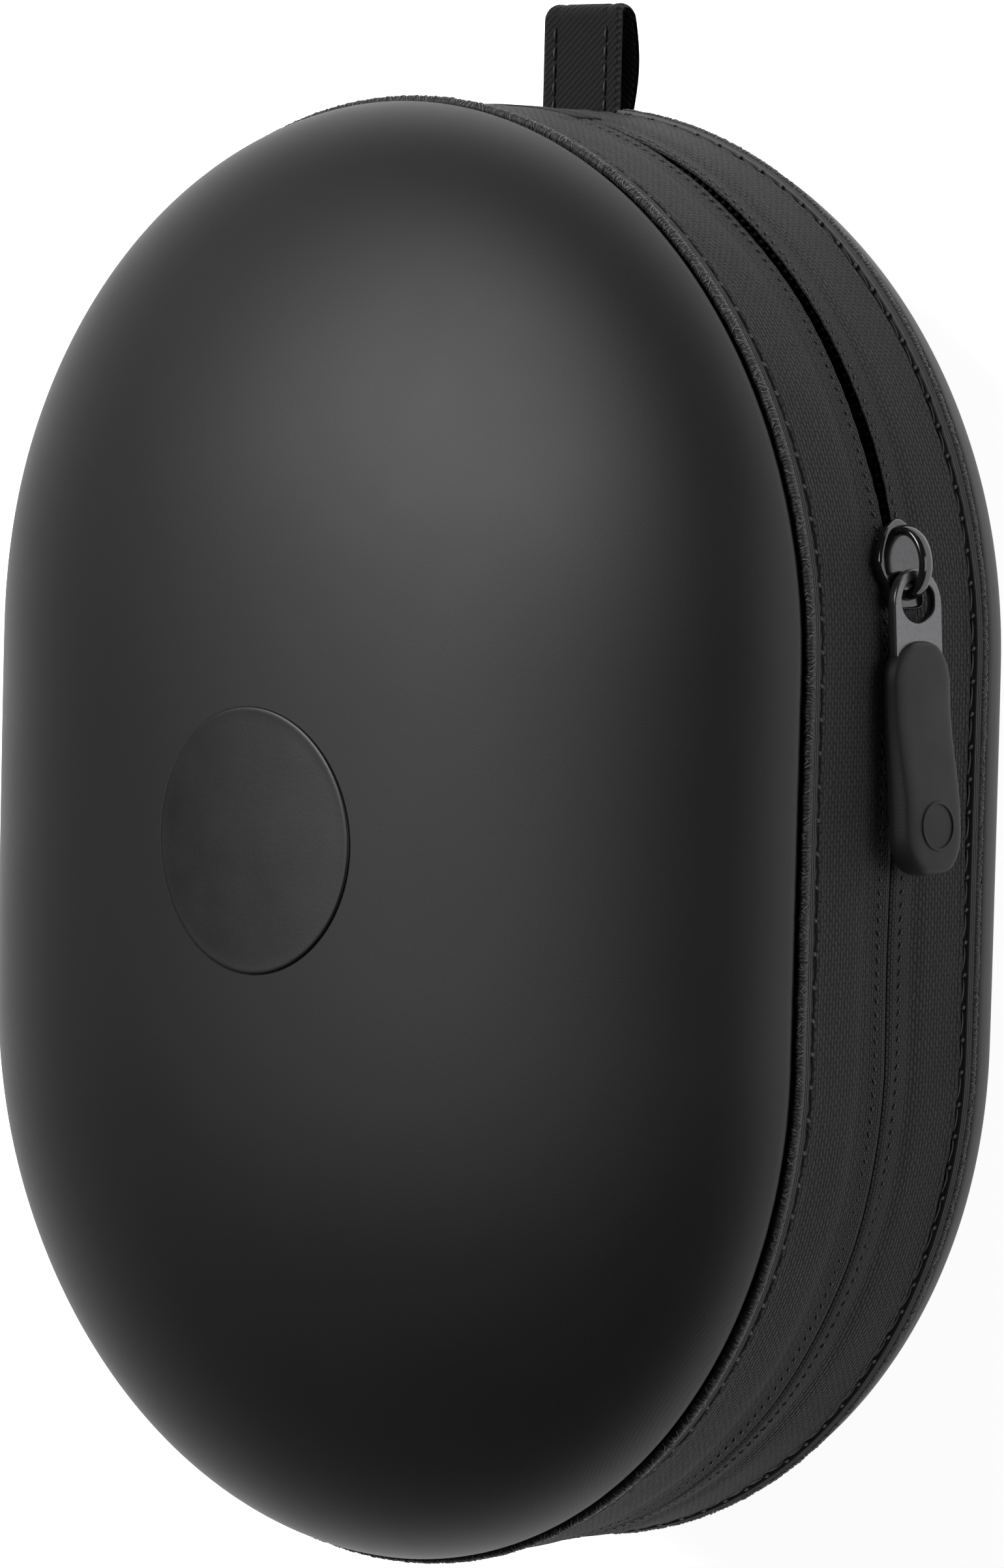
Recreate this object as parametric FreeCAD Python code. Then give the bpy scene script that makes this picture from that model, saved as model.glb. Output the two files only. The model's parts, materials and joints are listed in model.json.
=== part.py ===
"""Hard zip case for headphones, lying on its back shell.

X runs across the case (zip pull at +X), Y runs along it (fabric hinge and hang loop at +Y) and Z is
its depth. z = 0 is the flat resting patch of the back shell. In plan the case is a stadium: two round
ends joined by a short straight run. Base and lid mirror each other in the plane of the zip.
All lengths are in millimetres and all angles in degrees.
"""
import FreeCAD
import Part
import math
import os

Vector = FreeCAD.Vector
X_AXIS = Vector(1, 0, 0)
Y_AXIS = Vector(0, 1, 0)
Z_AXIS = Vector(0, 0, 1)
LID = 1
BASE = -1
BIG = 400.0                 # larger than the case, for cutting tools

# ---- outline and depth of the case ----
BAND_RADIUS = 75.2          # outer face of the woven band, round both ends
STRAIGHT_HALF = 26.0        # half of the straight run between the ends' centres
SEAM_HEIGHT = 17.35         # zip plane to the seam between band and shell
DOME_RISE = 28.5            # seam to the crown of each shell
REST_TRIM = 0.3             # depth of crown flattened on the back for standing on

# ---- shell layers, from outside to inside ----
SKIN_THICK = 1.0
FOAM_THICK = 3.5
LINING_THICK = 0.7

# ---- band layers ----
BAND_THICK = 1.2
STIFFENER_THICK = 1.6
BAND_LINING_THICK = 0.6
STIFFENER_CLEAR = 1.0       # stiffener's near edge to whatever is widest on the zip
MATING_GAP = 0.15           # each half's edge to the zip plane, when closed

# ---- seam: piping outside, binding inside ----
PIPING_RADIUS = 1.1
PIPING_PROUD = 0.8          # piping outside the band's face
STRIP_WIDTH = 3.2           # flat stitched strip beside the piping
STRIP_THICK = 0.5
BINDING_WIDTH = 4.6

# ---- zip ----
COIL_WIDTH = 3.25
COIL_THICK = 1.9
ZIP_END_X = 17.0            # where the zip starts, each side of the hang loop
SLIT_HALF = 1.8             # half height of the open stretch above the slider
STOP_LENGTH = 3.0
HINGE_PANEL_THICK = 1.6

# ---- hang loop ----
LOOP_WIDTH = 14.8
LOOP_REACH = 14.0           # beyond the band's face
PLY_THICK = 1.3
PLY_GAP = 1.6
LOOP_CORNER = 2.5
LOOP_CLEAR = 0.1

# ---- badge and net pocket ----
BADGE_RADIUS = 18.2
BADGE_THICK = 0.4
NET_RISE = 3.55             # shell's rim to the net
NET_THICK = 0.6
NET_EDGE_Y = 0.0            # mouth of the pocket
ELASTIC_WIDTH = 8.0
ELASTIC_THICK = 1.6
NET_BINDING = 2.0

# ---- slider: u is outward from the band, t along the zip towards its closed end stop ----
SLIDER_ANGLE = 10.5         # where the slider rests on the round end
SLIDER_TRAVEL = 48.0        # how far it can still turn round that end
PLATE_THICK = 1.5
TOP_CLEAR = 0.4             # band face to top plate
BOTTOM_CLEAR = 0.35         # zip coil to bottom plate, at the plate's ends
PLATE_MARGIN = 1.1          # plate beyond each foot of the bail
PLATE_HALF = 5.0
PLATE_WIDEST_T = 0.5
PLATE_SHOULDER_T = 4.2
PLATE_SHOULDER_HALF = 3.3
PLATE_FLANK_T = -1.5
PLATE_FLANK_HALF = 4.6
PLATE_WAIST_T = -3.1
PLATE_WAIST_HALF = 3.6
PLATE_TAIL_HALF = 3.0
NECK_CLEAR = 0.5            # neck to the tapes, each side
NECK_START = 1.0
NECK_END = 5.0
BAIL_WIDTH = 2.4
BAIL_NOSE = 5.3
BAIL_TAIL = 4.9
BAIL_THICK = 1.5
BAIL_ROOM = 1.1             # bar to the inside of the arch
BAIL_EDGE = 0.4

# ---- pull: hangs from the bail ----
BAR_CLEAR = 0.3             # bar to the top plate, however far it swings
BAR_GAP = 0.86              # bar to the bail's tail leg, at its foot
PULL_LEAN = 4.0
EYE_THICK = 1.45
EYE_HALF_WIDTH = 4.8
EYE_BAR = 1.5
EYE_ARM = 1.45
EYE_HOLE_LENGTH = 5.7
EYE_SHOULDER = 2.3          # eye's hole to the grip
EYE_TANG = 6.2              # length held inside the grip
GRIP_LENGTH = 31.2
GRIP_WALL = 1.0             # grip beyond the eye plate, each side
GRIP_BACK = 1.6             # pull's middle plane to the grip's flat back
GRIP_THICK = 3.2
GRIP_BULGE = 1.4
BULGE_START = 12.0          # from the grip's upper end
BULGE_FULL = 23.0
GRIP_EDGE = 0.7
DIMPLE_RADIUS = 3.4
DIMPLE_DEPTH = 0.35

# ---- values that follow ----
ZIP_PLANE = SEAM_HEIGHT + DOME_RISE - REST_TRIM
BAND_TOP = SEAM_HEIGHT - PIPING_RADIUS
SHELL_RIM = SEAM_HEIGHT + PIPING_RADIUS
BAND_INNER = BAND_RADIUS - BAND_THICK
STIFFENER_INNER = BAND_INNER - STIFFENER_THICK
PIPING_CENTRE = BAND_RADIUS + PIPING_PROUD - PIPING_RADIUS
PIPING_INNER = PIPING_CENTRE - PIPING_RADIUS
END_CENTRE = Vector(0, STRAIGHT_HALF, 0)
CASE_END = STRAIGHT_HALF + BAND_RADIUS
FOAM_INSET = SKIN_THICK
LINING_INSET = SKIN_THICK + FOAM_THICK
CAVITY_INSET = LINING_INSET + LINING_THICK
COIL_INNER = BAND_INNER - COIL_THICK
COIL_END = MATING_GAP + COIL_WIDTH
STIFFENER_START = max(PLATE_HALF, COIL_END) + STIFFENER_CLEAR
NET_HEIGHT = SHELL_RIM + NET_RISE
PLATE_NOSE = BAIL_NOSE + PLATE_MARGIN
PLATE_TAIL = BAIL_TAIL + PLATE_MARGIN
PLATE_TOP = TOP_CLEAR + PLATE_THICK
NECK_HALF = SLIT_HALF - NECK_CLEAR
EYE_REACH = math.hypot(EYE_BAR, EYE_THICK) / 2      # bar's centre to its corner
BAR_LIFT = EYE_REACH + BAR_CLEAR
BAIL_RISE = BAR_LIFT + EYE_REACH + BAIL_ROOM + BAIL_THICK
BAR_T = BAIL_THICK + EYE_REACH + BAR_GAP - BAIL_TAIL
EYE_HOLE_HALF = EYE_HALF_WIDTH - EYE_ARM
GRIP_START = EYE_BAR / 2 + EYE_HOLE_LENGTH + EYE_SHOULDER
GRIP_HALF_WIDTH = EYE_HALF_WIDTH + GRIP_WALL


def height(side, above):
    """Height of a level that lies `above` the zip plane on the lid, or as far below it on the base."""
    return ZIP_PLANE + side * above


def box(x_low, y_low, z_low, x_high, y_high, z_high):
    return Part.makeBox(x_high - x_low, y_high - y_low, z_high - z_low, Vector(x_low, y_low, z_low))


def level_box(side, x_half, y_low, y_high, near, far):
    """Box centred on x = 0 between two levels, `near` and `far` from the zip plane."""
    low, high = sorted((height(side, near), height(side, far)))
    return box(-x_half, y_low, low, x_half, y_high, high)


def polygon(points):
    return Part.Face(Part.makePolygon(points + [points[0]]))


def carried_round(section):
    """Solid made by carrying a section in the XZ plane round the stadium outline."""
    end = section.copy()
    end.translate(Vector(0, STRAIGHT_HALF, 0))
    far_end = section.copy()
    far_end.translate(Vector(0, -STRAIGHT_HALF, 0))
    run = far_end.extrude(Vector(0, 2 * STRAIGHT_HALF, 0))
    pieces = [
        far_end.revolve(Vector(0, -STRAIGHT_HALF, 0), Z_AXIS, -180),
        run,
        run.mirror(Vector(0, 0, 0), X_AXIS),
    ]
    return end.revolve(Vector(0, STRAIGHT_HALF, 0), Z_AXIS, 180).multiFuse(pieces).removeSplitter()


def ring(side, inner, outer, near, far):
    """Ring of rectangular section between two radii and two levels."""
    corners = [(inner, near), (outer, near), (outer, far), (inner, far)]
    return carried_round(polygon([Vector(r, 0, height(side, level)) for r, level in corners]))


def dome_arc(side, inset):
    """Quarter of the shell's elliptic profile, `inset` inside the outer face, from rim to crown."""
    centre = Vector(0, 0, height(side, SEAM_HEIGHT))
    radius = BAND_RADIUS - inset
    rise = DOME_RISE - inset
    ellipse = Part.Ellipse(centre + Vector(radius, 0, 0), centre + Vector(0, 0, side * rise), centre)
    start = math.asin((SHELL_RIM - SEAM_HEIGHT) / rise)
    return Part.ArcOfEllipse(ellipse, start, math.pi / 2).toShape()


def layer_section(side, outer_inset, inner_inset):
    """Half of a shell layer's section, between two insets from the shell's outer face."""
    outer = dome_arc(side, outer_inset)
    inner = dome_arc(side, inner_inset)
    rim = Part.makeLine(outer.firstVertex().Point, inner.firstVertex().Point)
    crown = Part.makeLine(outer.lastVertex().Point, inner.lastVertex().Point)
    return Part.Face(Part.Wire([outer, crown, inner, rim]))


def shell_layer(side, outer_inset, inner_inset):
    """One layer of a domed shell."""
    return carried_round(layer_section(side, outer_inset, inner_inset))


def turned(shape, angle):
    """Turn a shape about the +Y round end's centre, as the slider travels."""
    moved = shape.copy()
    moved.rotate(END_CENTRE, Z_AXIS, angle)
    return moved


def along_arc(t):
    """Angle that a length t along the zip takes up on the round end."""
    return math.degrees(t / BAND_RADIUS)


def slit():
    """Tool for the open stretch of the zip: level at first, then closing towards the zip's end."""
    start = SLIDER_ANGLE + along_arc(NECK_START - NECK_CLEAR)
    full_end = SLIDER_ANGLE + SLIDER_TRAVEL + along_arc(NECK_END + NECK_CLEAR)
    zip_end = math.degrees(math.acos(ZIP_END_X / BAND_RADIUS))
    corners = [(0, -SLIT_HALF), (BIG, -SLIT_HALF), (BIG, SLIT_HALF), (0, SLIT_HALF)]
    section = polygon([Vector(r, STRAIGHT_HALF, ZIP_PLANE + level) for r, level in corners])
    open_part = turned(section.revolve(END_CENTRE, Z_AXIS, full_end - start), start)
    taper = BAND_RADIUS * math.sin(math.radians(zip_end - full_end))
    wedge = polygon([
        Vector(0, STRAIGHT_HALF, ZIP_PLANE - SLIT_HALF),
        Vector(0, STRAIGHT_HALF + taper, ZIP_PLANE),
        Vector(0, STRAIGHT_HALF, ZIP_PLANE + SLIT_HALF),
    ]).extrude(Vector(BIG, 0, 0))
    return open_part.fuse(turned(wedge, full_end))


def at_hinge(half_width, near, far, side, inner, outer):
    """Arc of a ring over the hinge at the +Y end, `half_width` each side of the middle."""
    keep = level_box(side, half_width, 0, BIG, near, far)
    return ring(side, inner, outer, near, far).common(keep)


# ---- base and lid ----

def shell_skin(side):
    """Outer skin; the base's is levelled at z = 0 for standing on."""
    section = layer_section(side, 0, FOAM_INSET)
    above_floor = polygon([Vector(0, 0, 0), Vector(BIG, 0, 0), Vector(BIG, 0, BIG), Vector(0, 0, BIG)])
    return carried_round(section.common(above_floor).Faces[0])


def shell_foam(side):
    return shell_layer(side, FOAM_INSET, LINING_INSET)


def shell_lining(side):
    return shell_layer(side, LINING_INSET, CAVITY_INSET)


def band(side):
    return ring(side, BAND_INNER, BAND_RADIUS, MATING_GAP, BAND_TOP).cut(slit())


def band_stiffener(side):
    return ring(side, STIFFENER_INNER, BAND_INNER, STIFFENER_START, BAND_TOP)


def band_lining(side):
    inner = STIFFENER_INNER - BAND_LINING_THICK
    return ring(side, inner, STIFFENER_INNER, STIFFENER_START, BAND_TOP)


def zip_coil(side):
    coil = ring(side, COIL_INNER, BAND_INNER, MATING_GAP, COIL_END)
    return coil.cut(level_box(side, ZIP_END_X, 0, BIG, 0, BIG)).cut(slit())


def zip_stops(side):
    """A pair of stops, one in each gap between the coil's end and the hinge panel."""
    both = at_hinge(ZIP_END_X, MATING_GAP, COIL_END, side, COIL_INNER, BAND_INNER)
    return both.cut(level_box(side, ZIP_END_X - STOP_LENGTH, 0, BIG, 0, BIG))


def hinge_panel(side):
    """Half of the fabric strip behind the fold at the +Y end."""
    half_width = ZIP_END_X - STOP_LENGTH
    inner = BAND_INNER - HINGE_PANEL_THICK
    return at_hinge(half_width, MATING_GAP, STIFFENER_START, side, inner, BAND_INNER)


def piping(side):
    """Piping bead along the shell's seam, with the flat stitched strip beside it."""
    bead = Part.makeCircle(PIPING_RADIUS, Vector(PIPING_CENTRE, 0, height(side, SEAM_HEIGHT)), Y_AXIS)
    strip_far = BAND_TOP + PIPING_RADIUS / 2
    strip = ring(side, BAND_RADIUS, BAND_RADIUS + STRIP_THICK, strip_far - STRIP_WIDTH, strip_far)
    edge = carried_round(Part.Face(Part.Wire([bead]))).fuse(strip)
    if side == BASE:
        edge = edge.cut(loop_passage())
    return edge


def seam_binding(side):
    """Rounded tape that covers the seam on the inside."""
    nose = PIPING_RADIUS
    inner = PIPING_INNER - BINDING_WIDTH + nose
    low = Vector(inner, 0, height(side, BAND_TOP))
    high = Vector(inner, 0, height(side, SHELL_RIM))
    tip = Vector(inner - nose, 0, height(side, SEAM_HEIGHT))
    outer_low = Vector(PIPING_INNER, 0, low.z)
    outer_high = Vector(PIPING_INNER, 0, high.z)
    edges = [
        Part.Arc(low, tip, high).toShape(),
        Part.makeLine(high, outer_high),
        Part.makeLine(outer_high, outer_low),
        Part.makeLine(outer_low, low),
    ]
    return carried_round(Part.Face(Part.Wire(edges)))


# ---- hang loop, caught in the base's seam ----

def loop_passage():
    """Gap in the base's piping where the loop comes out of the seam."""
    return level_box(BASE, LOOP_WIDTH / 2 + LOOP_CLEAR, 0, BIG, BAND_TOP, SHELL_RIM + LOOP_CLEAR)


def hang_loop():
    """Folded strap: a U in the YZ plane, as wide as the strap, with rounded upper corners."""
    front = height(BASE, BAND_TOP)
    back = front - 2 * PLY_THICK - PLY_GAP
    middle = (front + back) / 2
    fold = (front - back) / 2
    crest = CASE_END + LOOP_REACH
    shoulder = crest - fold
    front_root = STRAIGHT_HALF + PIPING_INNER
    back_root = CASE_END
    inner_fold = PLY_GAP / 2

    def point(y, z):
        return Vector(-LOOP_WIDTH / 2, y, z)

    edges = [
        Part.makeLine(point(front_root, front), point(shoulder, front)),
        Part.Arc(point(shoulder, front), point(crest, middle), point(shoulder, back)).toShape(),
        Part.makeLine(point(shoulder, back), point(back_root, back)),
        Part.makeLine(point(back_root, back), point(back_root, back + PLY_THICK)),
        Part.makeLine(point(back_root, back + PLY_THICK), point(shoulder, back + PLY_THICK)),
        Part.Arc(
            point(shoulder, back + PLY_THICK),
            point(shoulder + inner_fold, middle),
            point(shoulder, front - PLY_THICK),
        ).toShape(),
        Part.makeLine(point(shoulder, front - PLY_THICK), point(front_root, front - PLY_THICK)),
        Part.makeLine(point(front_root, front - PLY_THICK), point(front_root, front)),
    ]
    strap = Part.Face(Part.Wire(edges)).extrude(Vector(LOOP_WIDTH, 0, 0))
    block = level_box(BASE, LOOP_WIDTH / 2, front_root, crest, 0, BIG)
    corners = [edge for edge in block.Edges if is_upright(edge) and edge.CenterOfMass.y > shoulder]
    return strap.common(block.makeFillet(LOOP_CORNER, corners))


def is_upright(edge):
    return abs(edge.tangentAt(edge.FirstParameter).z) > 0.5


# ---- badge and net pocket on the lid ----

def front_badge():
    """Plain disc that lies on the lid's crown and follows its curve."""
    column = Part.makeCylinder(BADGE_RADIUS, BIG, Vector(0, 0, ZIP_PLANE))
    return shell_layer(LID, -BADGE_THICK, 0).common(column)


def hollow_radius(above):
    """Radius of the lid's hollow at a level above the zip plane."""
    share = (above - SEAM_HEIGHT) / (DOME_RISE - CAVITY_INSET)
    return (BAND_RADIUS - CAVITY_INSET) * math.sqrt(1 - share ** 2)


def across_hollow(near, far, inset):
    """Layer between two levels of the lid's hollow, solid or with all but its edge left out."""
    inner_near = hollow_radius(near) - inset if inset else 0
    inner_far = hollow_radius(far) - inset if inset else 0
    section = polygon([
        Vector(inner_near, 0, height(LID, near)),
        Vector(hollow_radius(near), 0, height(LID, near)),
        Vector(hollow_radius(far), 0, height(LID, far)),
        Vector(inner_far, 0, height(LID, far)),
    ])
    return carried_round(section)


def mesh_pocket():
    """Net stretched across the hinge end of the lid's hollow."""
    far = NET_HEIGHT + NET_THICK
    return across_hollow(NET_HEIGHT, far, 0).common(level_box(LID, BIG, NET_EDGE_Y, BIG, 0, BIG))


def mesh_pocket_elastic():
    """Elastic hem along the mouth of the net pocket."""
    hem = level_box(LID, BIG, NET_EDGE_Y, NET_EDGE_Y + ELASTIC_WIDTH, 0, BIG)
    return across_hollow(NET_HEIGHT - ELASTIC_THICK, NET_HEIGHT, 0).common(hem)


def mesh_pocket_binding():
    """Tape that holds the net's curved edge to the lining."""
    tape = across_hollow(NET_HEIGHT - NET_BINDING, NET_HEIGHT, NET_BINDING)
    return tape.cut(level_box(LID, BIG, -BIG, NET_EDGE_Y + ELASTIC_WIDTH, 0, BIG))


# ---- slider: drawn at the start of the round end, then turned to its place ----

def local(u, t, level=0):
    """Point `u` outside the band, `t` along the zip and `level` above the zip plane."""
    return Vector(BAND_RADIUS + u, STRAIGHT_HALF + t, ZIP_PLANE + level)


def plate(bottom, thick):
    """Shield-shaped plate with its point towards the zip's open side."""
    def half(sign):
        nose = local(bottom, PLATE_NOSE)
        shoulder = local(bottom, PLATE_SHOULDER_T, sign * PLATE_SHOULDER_HALF)
        widest = local(bottom, PLATE_WIDEST_T, sign * PLATE_HALF)
        flank = local(bottom, PLATE_FLANK_T, sign * PLATE_FLANK_HALF)
        waist = local(bottom, PLATE_WAIST_T, sign * PLATE_WAIST_HALF)
        tail = local(bottom, -PLATE_TAIL, sign * PLATE_TAIL_HALF)
        return [
            Part.Arc(nose, shoulder, widest).toShape(),
            Part.Arc(widest, flank, waist).toShape(),
            Part.makeLine(waist, tail),
        ]
    one = half(1)
    other = half(-1)
    end = Part.makeLine(one[-1].lastVertex().Point, other[-1].lastVertex().Point)
    outline = Part.Wire(one + [end] + other[::-1])
    return Part.Face(outline).extrude(Vector(thick, 0, 0))


def slider_body():
    """Two plates, outside and inside the tapes, joined by a neck through the open stretch."""
    plate_end_drop = BAND_RADIUS - math.sqrt(BAND_RADIUS ** 2 - PLATE_NOSE ** 2)
    bottom_top = COIL_INNER - BAND_RADIUS - plate_end_drop - BOTTOM_CLEAR
    top_plate = plate(TOP_CLEAR, PLATE_THICK)
    bottom_plate = plate(bottom_top - PLATE_THICK, PLATE_THICK)
    low = local(bottom_top, NECK_START, -NECK_HALF)
    neck = Part.makeBox(TOP_CLEAR - bottom_top, NECK_END - NECK_START, 2 * NECK_HALF, low)
    return turned(top_plate.multiFuse([neck, bottom_plate]).removeSplitter(), SLIDER_ANGLE)


def slider_bail():
    """Arched bridge on the top plate that the pull hangs from."""
    middle = (BAIL_NOSE - BAIL_TAIL) / 2

    def arch(trim):
        foot = local(PLATE_TOP, BAIL_NOSE - trim, -BAIL_WIDTH / 2)
        top = local(PLATE_TOP + BAIL_RISE - trim, middle, -BAIL_WIDTH / 2)
        other = local(PLATE_TOP, -BAIL_TAIL + trim, -BAIL_WIDTH / 2)
        return Part.Arc(foot, top, other).toShape()

    outer = arch(0)
    inner = arch(BAIL_THICK)
    feet = [
        Part.makeLine(outer.firstVertex().Point, inner.firstVertex().Point),
        Part.makeLine(outer.lastVertex().Point, inner.lastVertex().Point),
    ]
    bridge = Part.Face(Part.Wire([outer, feet[1], inner, feet[0]])).extrude(Vector(0, 0, BAIL_WIDTH))
    curved = [edge for edge in bridge.Edges if edge.Curve.TypeId == "Part::GeomCircle"]
    return turned(bridge.makeFillet(BAIL_EDGE, curved), SLIDER_ANGLE)


# ---- pull: drawn hanging from the origin along -Y, then moved to the bail ----

def pull_pivot():
    bar = Part.Vertex(local(PLATE_TOP + BAR_LIFT, BAR_T))
    return turned(bar, SLIDER_ANGLE).Point


def hung(shape):
    """Lean a pull piece outward and move it from the origin to the bar in the bail."""
    placed = shape.copy()
    placed.rotate(Vector(0, 0, 0), Z_AXIS, PULL_LEAN)
    placed.translate(pull_pivot())
    return placed


def tab(half_width, top, bottom, back, thick):
    """Slab hanging from y = -top to y = -bottom, with a half-round upper end."""
    centre = Vector(back, -top - half_width, 0)
    upper = Part.makeCylinder(half_width, thick, centre, X_AXIS)
    body = box(back, -bottom, -half_width, back + thick, centre.y, half_width)
    return upper.fuse(body).removeSplitter()


def eye_blank():
    """Eye plate as drawn, hanging from the origin: the bar is the ring's upper stretch."""
    slab = tab(EYE_HALF_WIDTH, -EYE_BAR / 2, GRIP_START + EYE_TANG, -EYE_THICK / 2, EYE_THICK)
    centre = Vector(-EYE_THICK, -(EYE_BAR + EYE_HOLE_LENGTH) / 2, 0)
    across = centre + Vector(0, 0, EYE_HOLE_HALF)
    down = centre - Vector(0, EYE_HOLE_LENGTH / 2, 0)
    hole = Part.Face(Part.Wire([Part.Ellipse(across, down, centre).toShape()]))
    return slab.cut(hole.extrude(Vector(2 * EYE_THICK, 0, 0)))


def puller_eye_plate():
    return hung(eye_blank())


def bulge_edges(front, full, z):
    """Two arcs that lead the grip's front face smoothly out to the bulge."""
    start = -GRIP_START - BULGE_START
    end = -GRIP_START - BULGE_FULL
    run = (start - end) / 2
    rise = (full - front) / 2
    radius = (run ** 2 + rise ** 2) / (2 * rise)
    half_turn = math.asin(run / radius) / 2
    along = radius * math.sin(half_turn)
    out = radius * (1 - math.cos(half_turn))
    foot = Vector(front, start, z)
    middle = Vector(front + rise, start - run, z)
    head = Vector(full, end, z)
    return [
        Part.Arc(foot, Vector(front + out, start - along, z), middle).toShape(),
        Part.Arc(middle, Vector(full - out, end + along, z), head).toShape(),
    ]


def grip_blank():
    """Moulded grip, flat at the back and thicker towards its lower end."""
    end = GRIP_START + GRIP_LENGTH
    front = GRIP_THICK - GRIP_BACK
    full = front + GRIP_BULGE
    z = -GRIP_HALF_WIDTH
    bulge = bulge_edges(front, full, z)
    rest = Part.makePolygon([
        bulge[-1].lastVertex().Point,
        Vector(full, -end, z),
        Vector(-GRIP_BACK, -end, z),
        Vector(-GRIP_BACK, -GRIP_START, z),
        Vector(front, -GRIP_START, z),
        bulge[0].firstVertex().Point,
    ])
    side_view = Part.Face(Part.Wire(bulge + rest.Edges)).extrude(Vector(0, 0, 2 * GRIP_HALF_WIDTH))
    depth = full + GRIP_BACK
    upper = tab(GRIP_HALF_WIDTH, GRIP_START, end - GRIP_HALF_WIDTH, -GRIP_BACK, depth)
    lower = Part.makeCylinder(GRIP_HALF_WIDTH, depth, Vector(-GRIP_BACK, GRIP_HALF_WIDTH - end, 0), X_AXIS)
    grip = side_view.common(upper.fuse(lower).removeSplitter())
    rims = [edge for edge in grip.Edges if on_grip_rim(edge)]
    return grip.makeFillet(GRIP_EDGE, rims)


def on_grip_rim(edge):
    """Edges round the front and back faces, not the seams across the front."""
    ends = [vertex.Point for vertex in edge.Vertexes]
    crosses = abs(ends[0].z) > GRIP_HALF_WIDTH / 2 and abs(ends[0].z + ends[-1].z) < GRIP_EDGE
    straight = edge.Curve.TypeId == "Part::GeomLine"
    through = abs(ends[0].x - ends[-1].x) > GRIP_THICK / 2
    return not (straight and (crosses or through))


def puller_grip():
    """Grip round the eye plate's tang, with a plain round dimple near its lower end."""
    front = GRIP_THICK - GRIP_BACK + GRIP_BULGE
    centre = Vector(front - DIMPLE_DEPTH, GRIP_HALF_WIDTH - GRIP_START - GRIP_LENGTH, 0)
    dimple = Part.makeCylinder(DIMPLE_RADIUS, GRIP_BULGE, centre, X_AXIS)
    return hung(grip_blank().cut(dimple).cut(eye_blank()))


def build_nodes():
    nodes = {}
    for name, side in (("base", BASE), ("lid", LID)):
        nodes[name + "_shell_skin"] = shell_skin(side)
        nodes[name + "_shell_foam"] = shell_foam(side)
        nodes[name + "_lining"] = shell_lining(side)
        nodes[name + "_band"] = band(side)
        nodes[name + "_band_stiffener"] = band_stiffener(side)
        nodes[name + "_band_lining"] = band_lining(side)
        nodes[name + "_piping"] = piping(side)
        nodes[name + "_seam_binding"] = seam_binding(side)
        nodes[name + "_zip_coil"] = zip_coil(side)
        nodes[name + "_zip_stops"] = zip_stops(side)
        nodes[name + "_hinge_panel"] = hinge_panel(side)
    nodes["hang_loop"] = hang_loop()
    nodes["front_badge"] = front_badge()
    nodes["mesh_pocket"] = mesh_pocket()
    nodes["mesh_pocket_elastic"] = mesh_pocket_elastic()
    nodes["mesh_pocket_binding"] = mesh_pocket_binding()
    nodes["slider_body"] = slider_body()
    nodes["slider_bail"] = slider_bail()
    nodes["puller_eye_plate"] = puller_eye_plate()
    nodes["puller_grip"] = puller_grip()
    return nodes


os.makedirs("parts", exist_ok=True)
for node, shape in build_nodes().items():
    print(node, "solids", len(shape.Solids), "volume", round(shape.Volume, 1))
    shape.exportStep(os.path.join("parts", node + ".step"))
print("zip plane", round(ZIP_PLANE, 3), "hinge at y", round(CASE_END, 3))
print("pull pivot", [round(value, 3) for value in pull_pivot()])
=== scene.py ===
"""Looks of a zip-around hard case lying on its back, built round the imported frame.

Everything is in metres in the part's own frame: X across, Y along (hinge end at +Y), Z up. Sizes
below are in millimetres and are turned into metres where points are made. The outline is a stadium:
every long piece is a section carried round it, so a station is a length along the band's face,
measured from the middle of the zip pull's side.
"""
import json
import math

import bpy
import bmesh
import numpy as np
from mathutils import Matrix, Vector


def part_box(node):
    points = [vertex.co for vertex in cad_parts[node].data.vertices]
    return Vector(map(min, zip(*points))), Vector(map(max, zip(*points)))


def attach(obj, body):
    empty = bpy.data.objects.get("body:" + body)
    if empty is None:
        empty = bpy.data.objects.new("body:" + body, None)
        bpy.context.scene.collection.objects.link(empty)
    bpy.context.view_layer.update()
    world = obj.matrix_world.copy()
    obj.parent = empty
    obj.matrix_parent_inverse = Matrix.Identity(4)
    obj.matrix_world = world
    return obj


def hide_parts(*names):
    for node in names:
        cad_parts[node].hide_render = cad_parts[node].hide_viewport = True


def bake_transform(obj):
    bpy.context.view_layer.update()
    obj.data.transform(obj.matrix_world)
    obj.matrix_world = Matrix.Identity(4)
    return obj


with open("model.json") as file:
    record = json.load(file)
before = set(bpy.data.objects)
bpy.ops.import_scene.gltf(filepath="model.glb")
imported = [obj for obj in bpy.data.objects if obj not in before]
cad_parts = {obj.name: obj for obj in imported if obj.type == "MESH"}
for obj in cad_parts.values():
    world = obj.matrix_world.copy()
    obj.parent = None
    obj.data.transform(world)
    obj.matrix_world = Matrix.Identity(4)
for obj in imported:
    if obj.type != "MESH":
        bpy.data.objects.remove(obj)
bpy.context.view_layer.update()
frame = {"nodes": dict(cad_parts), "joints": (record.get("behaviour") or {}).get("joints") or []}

MM = 0.001
LID = 1
BASE = -1
NAMES = {LID: "lid", BASE: "base"}
rng = np.random.default_rng(7)


# ---- places read from the frame, in millimetres ----

def joint(name):
    return next(j for j in frame["joints"] if j["name"] == name)


def low(node):
    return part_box(node)[0] / MM


def high(node):
    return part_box(node)[1] / MM


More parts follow.
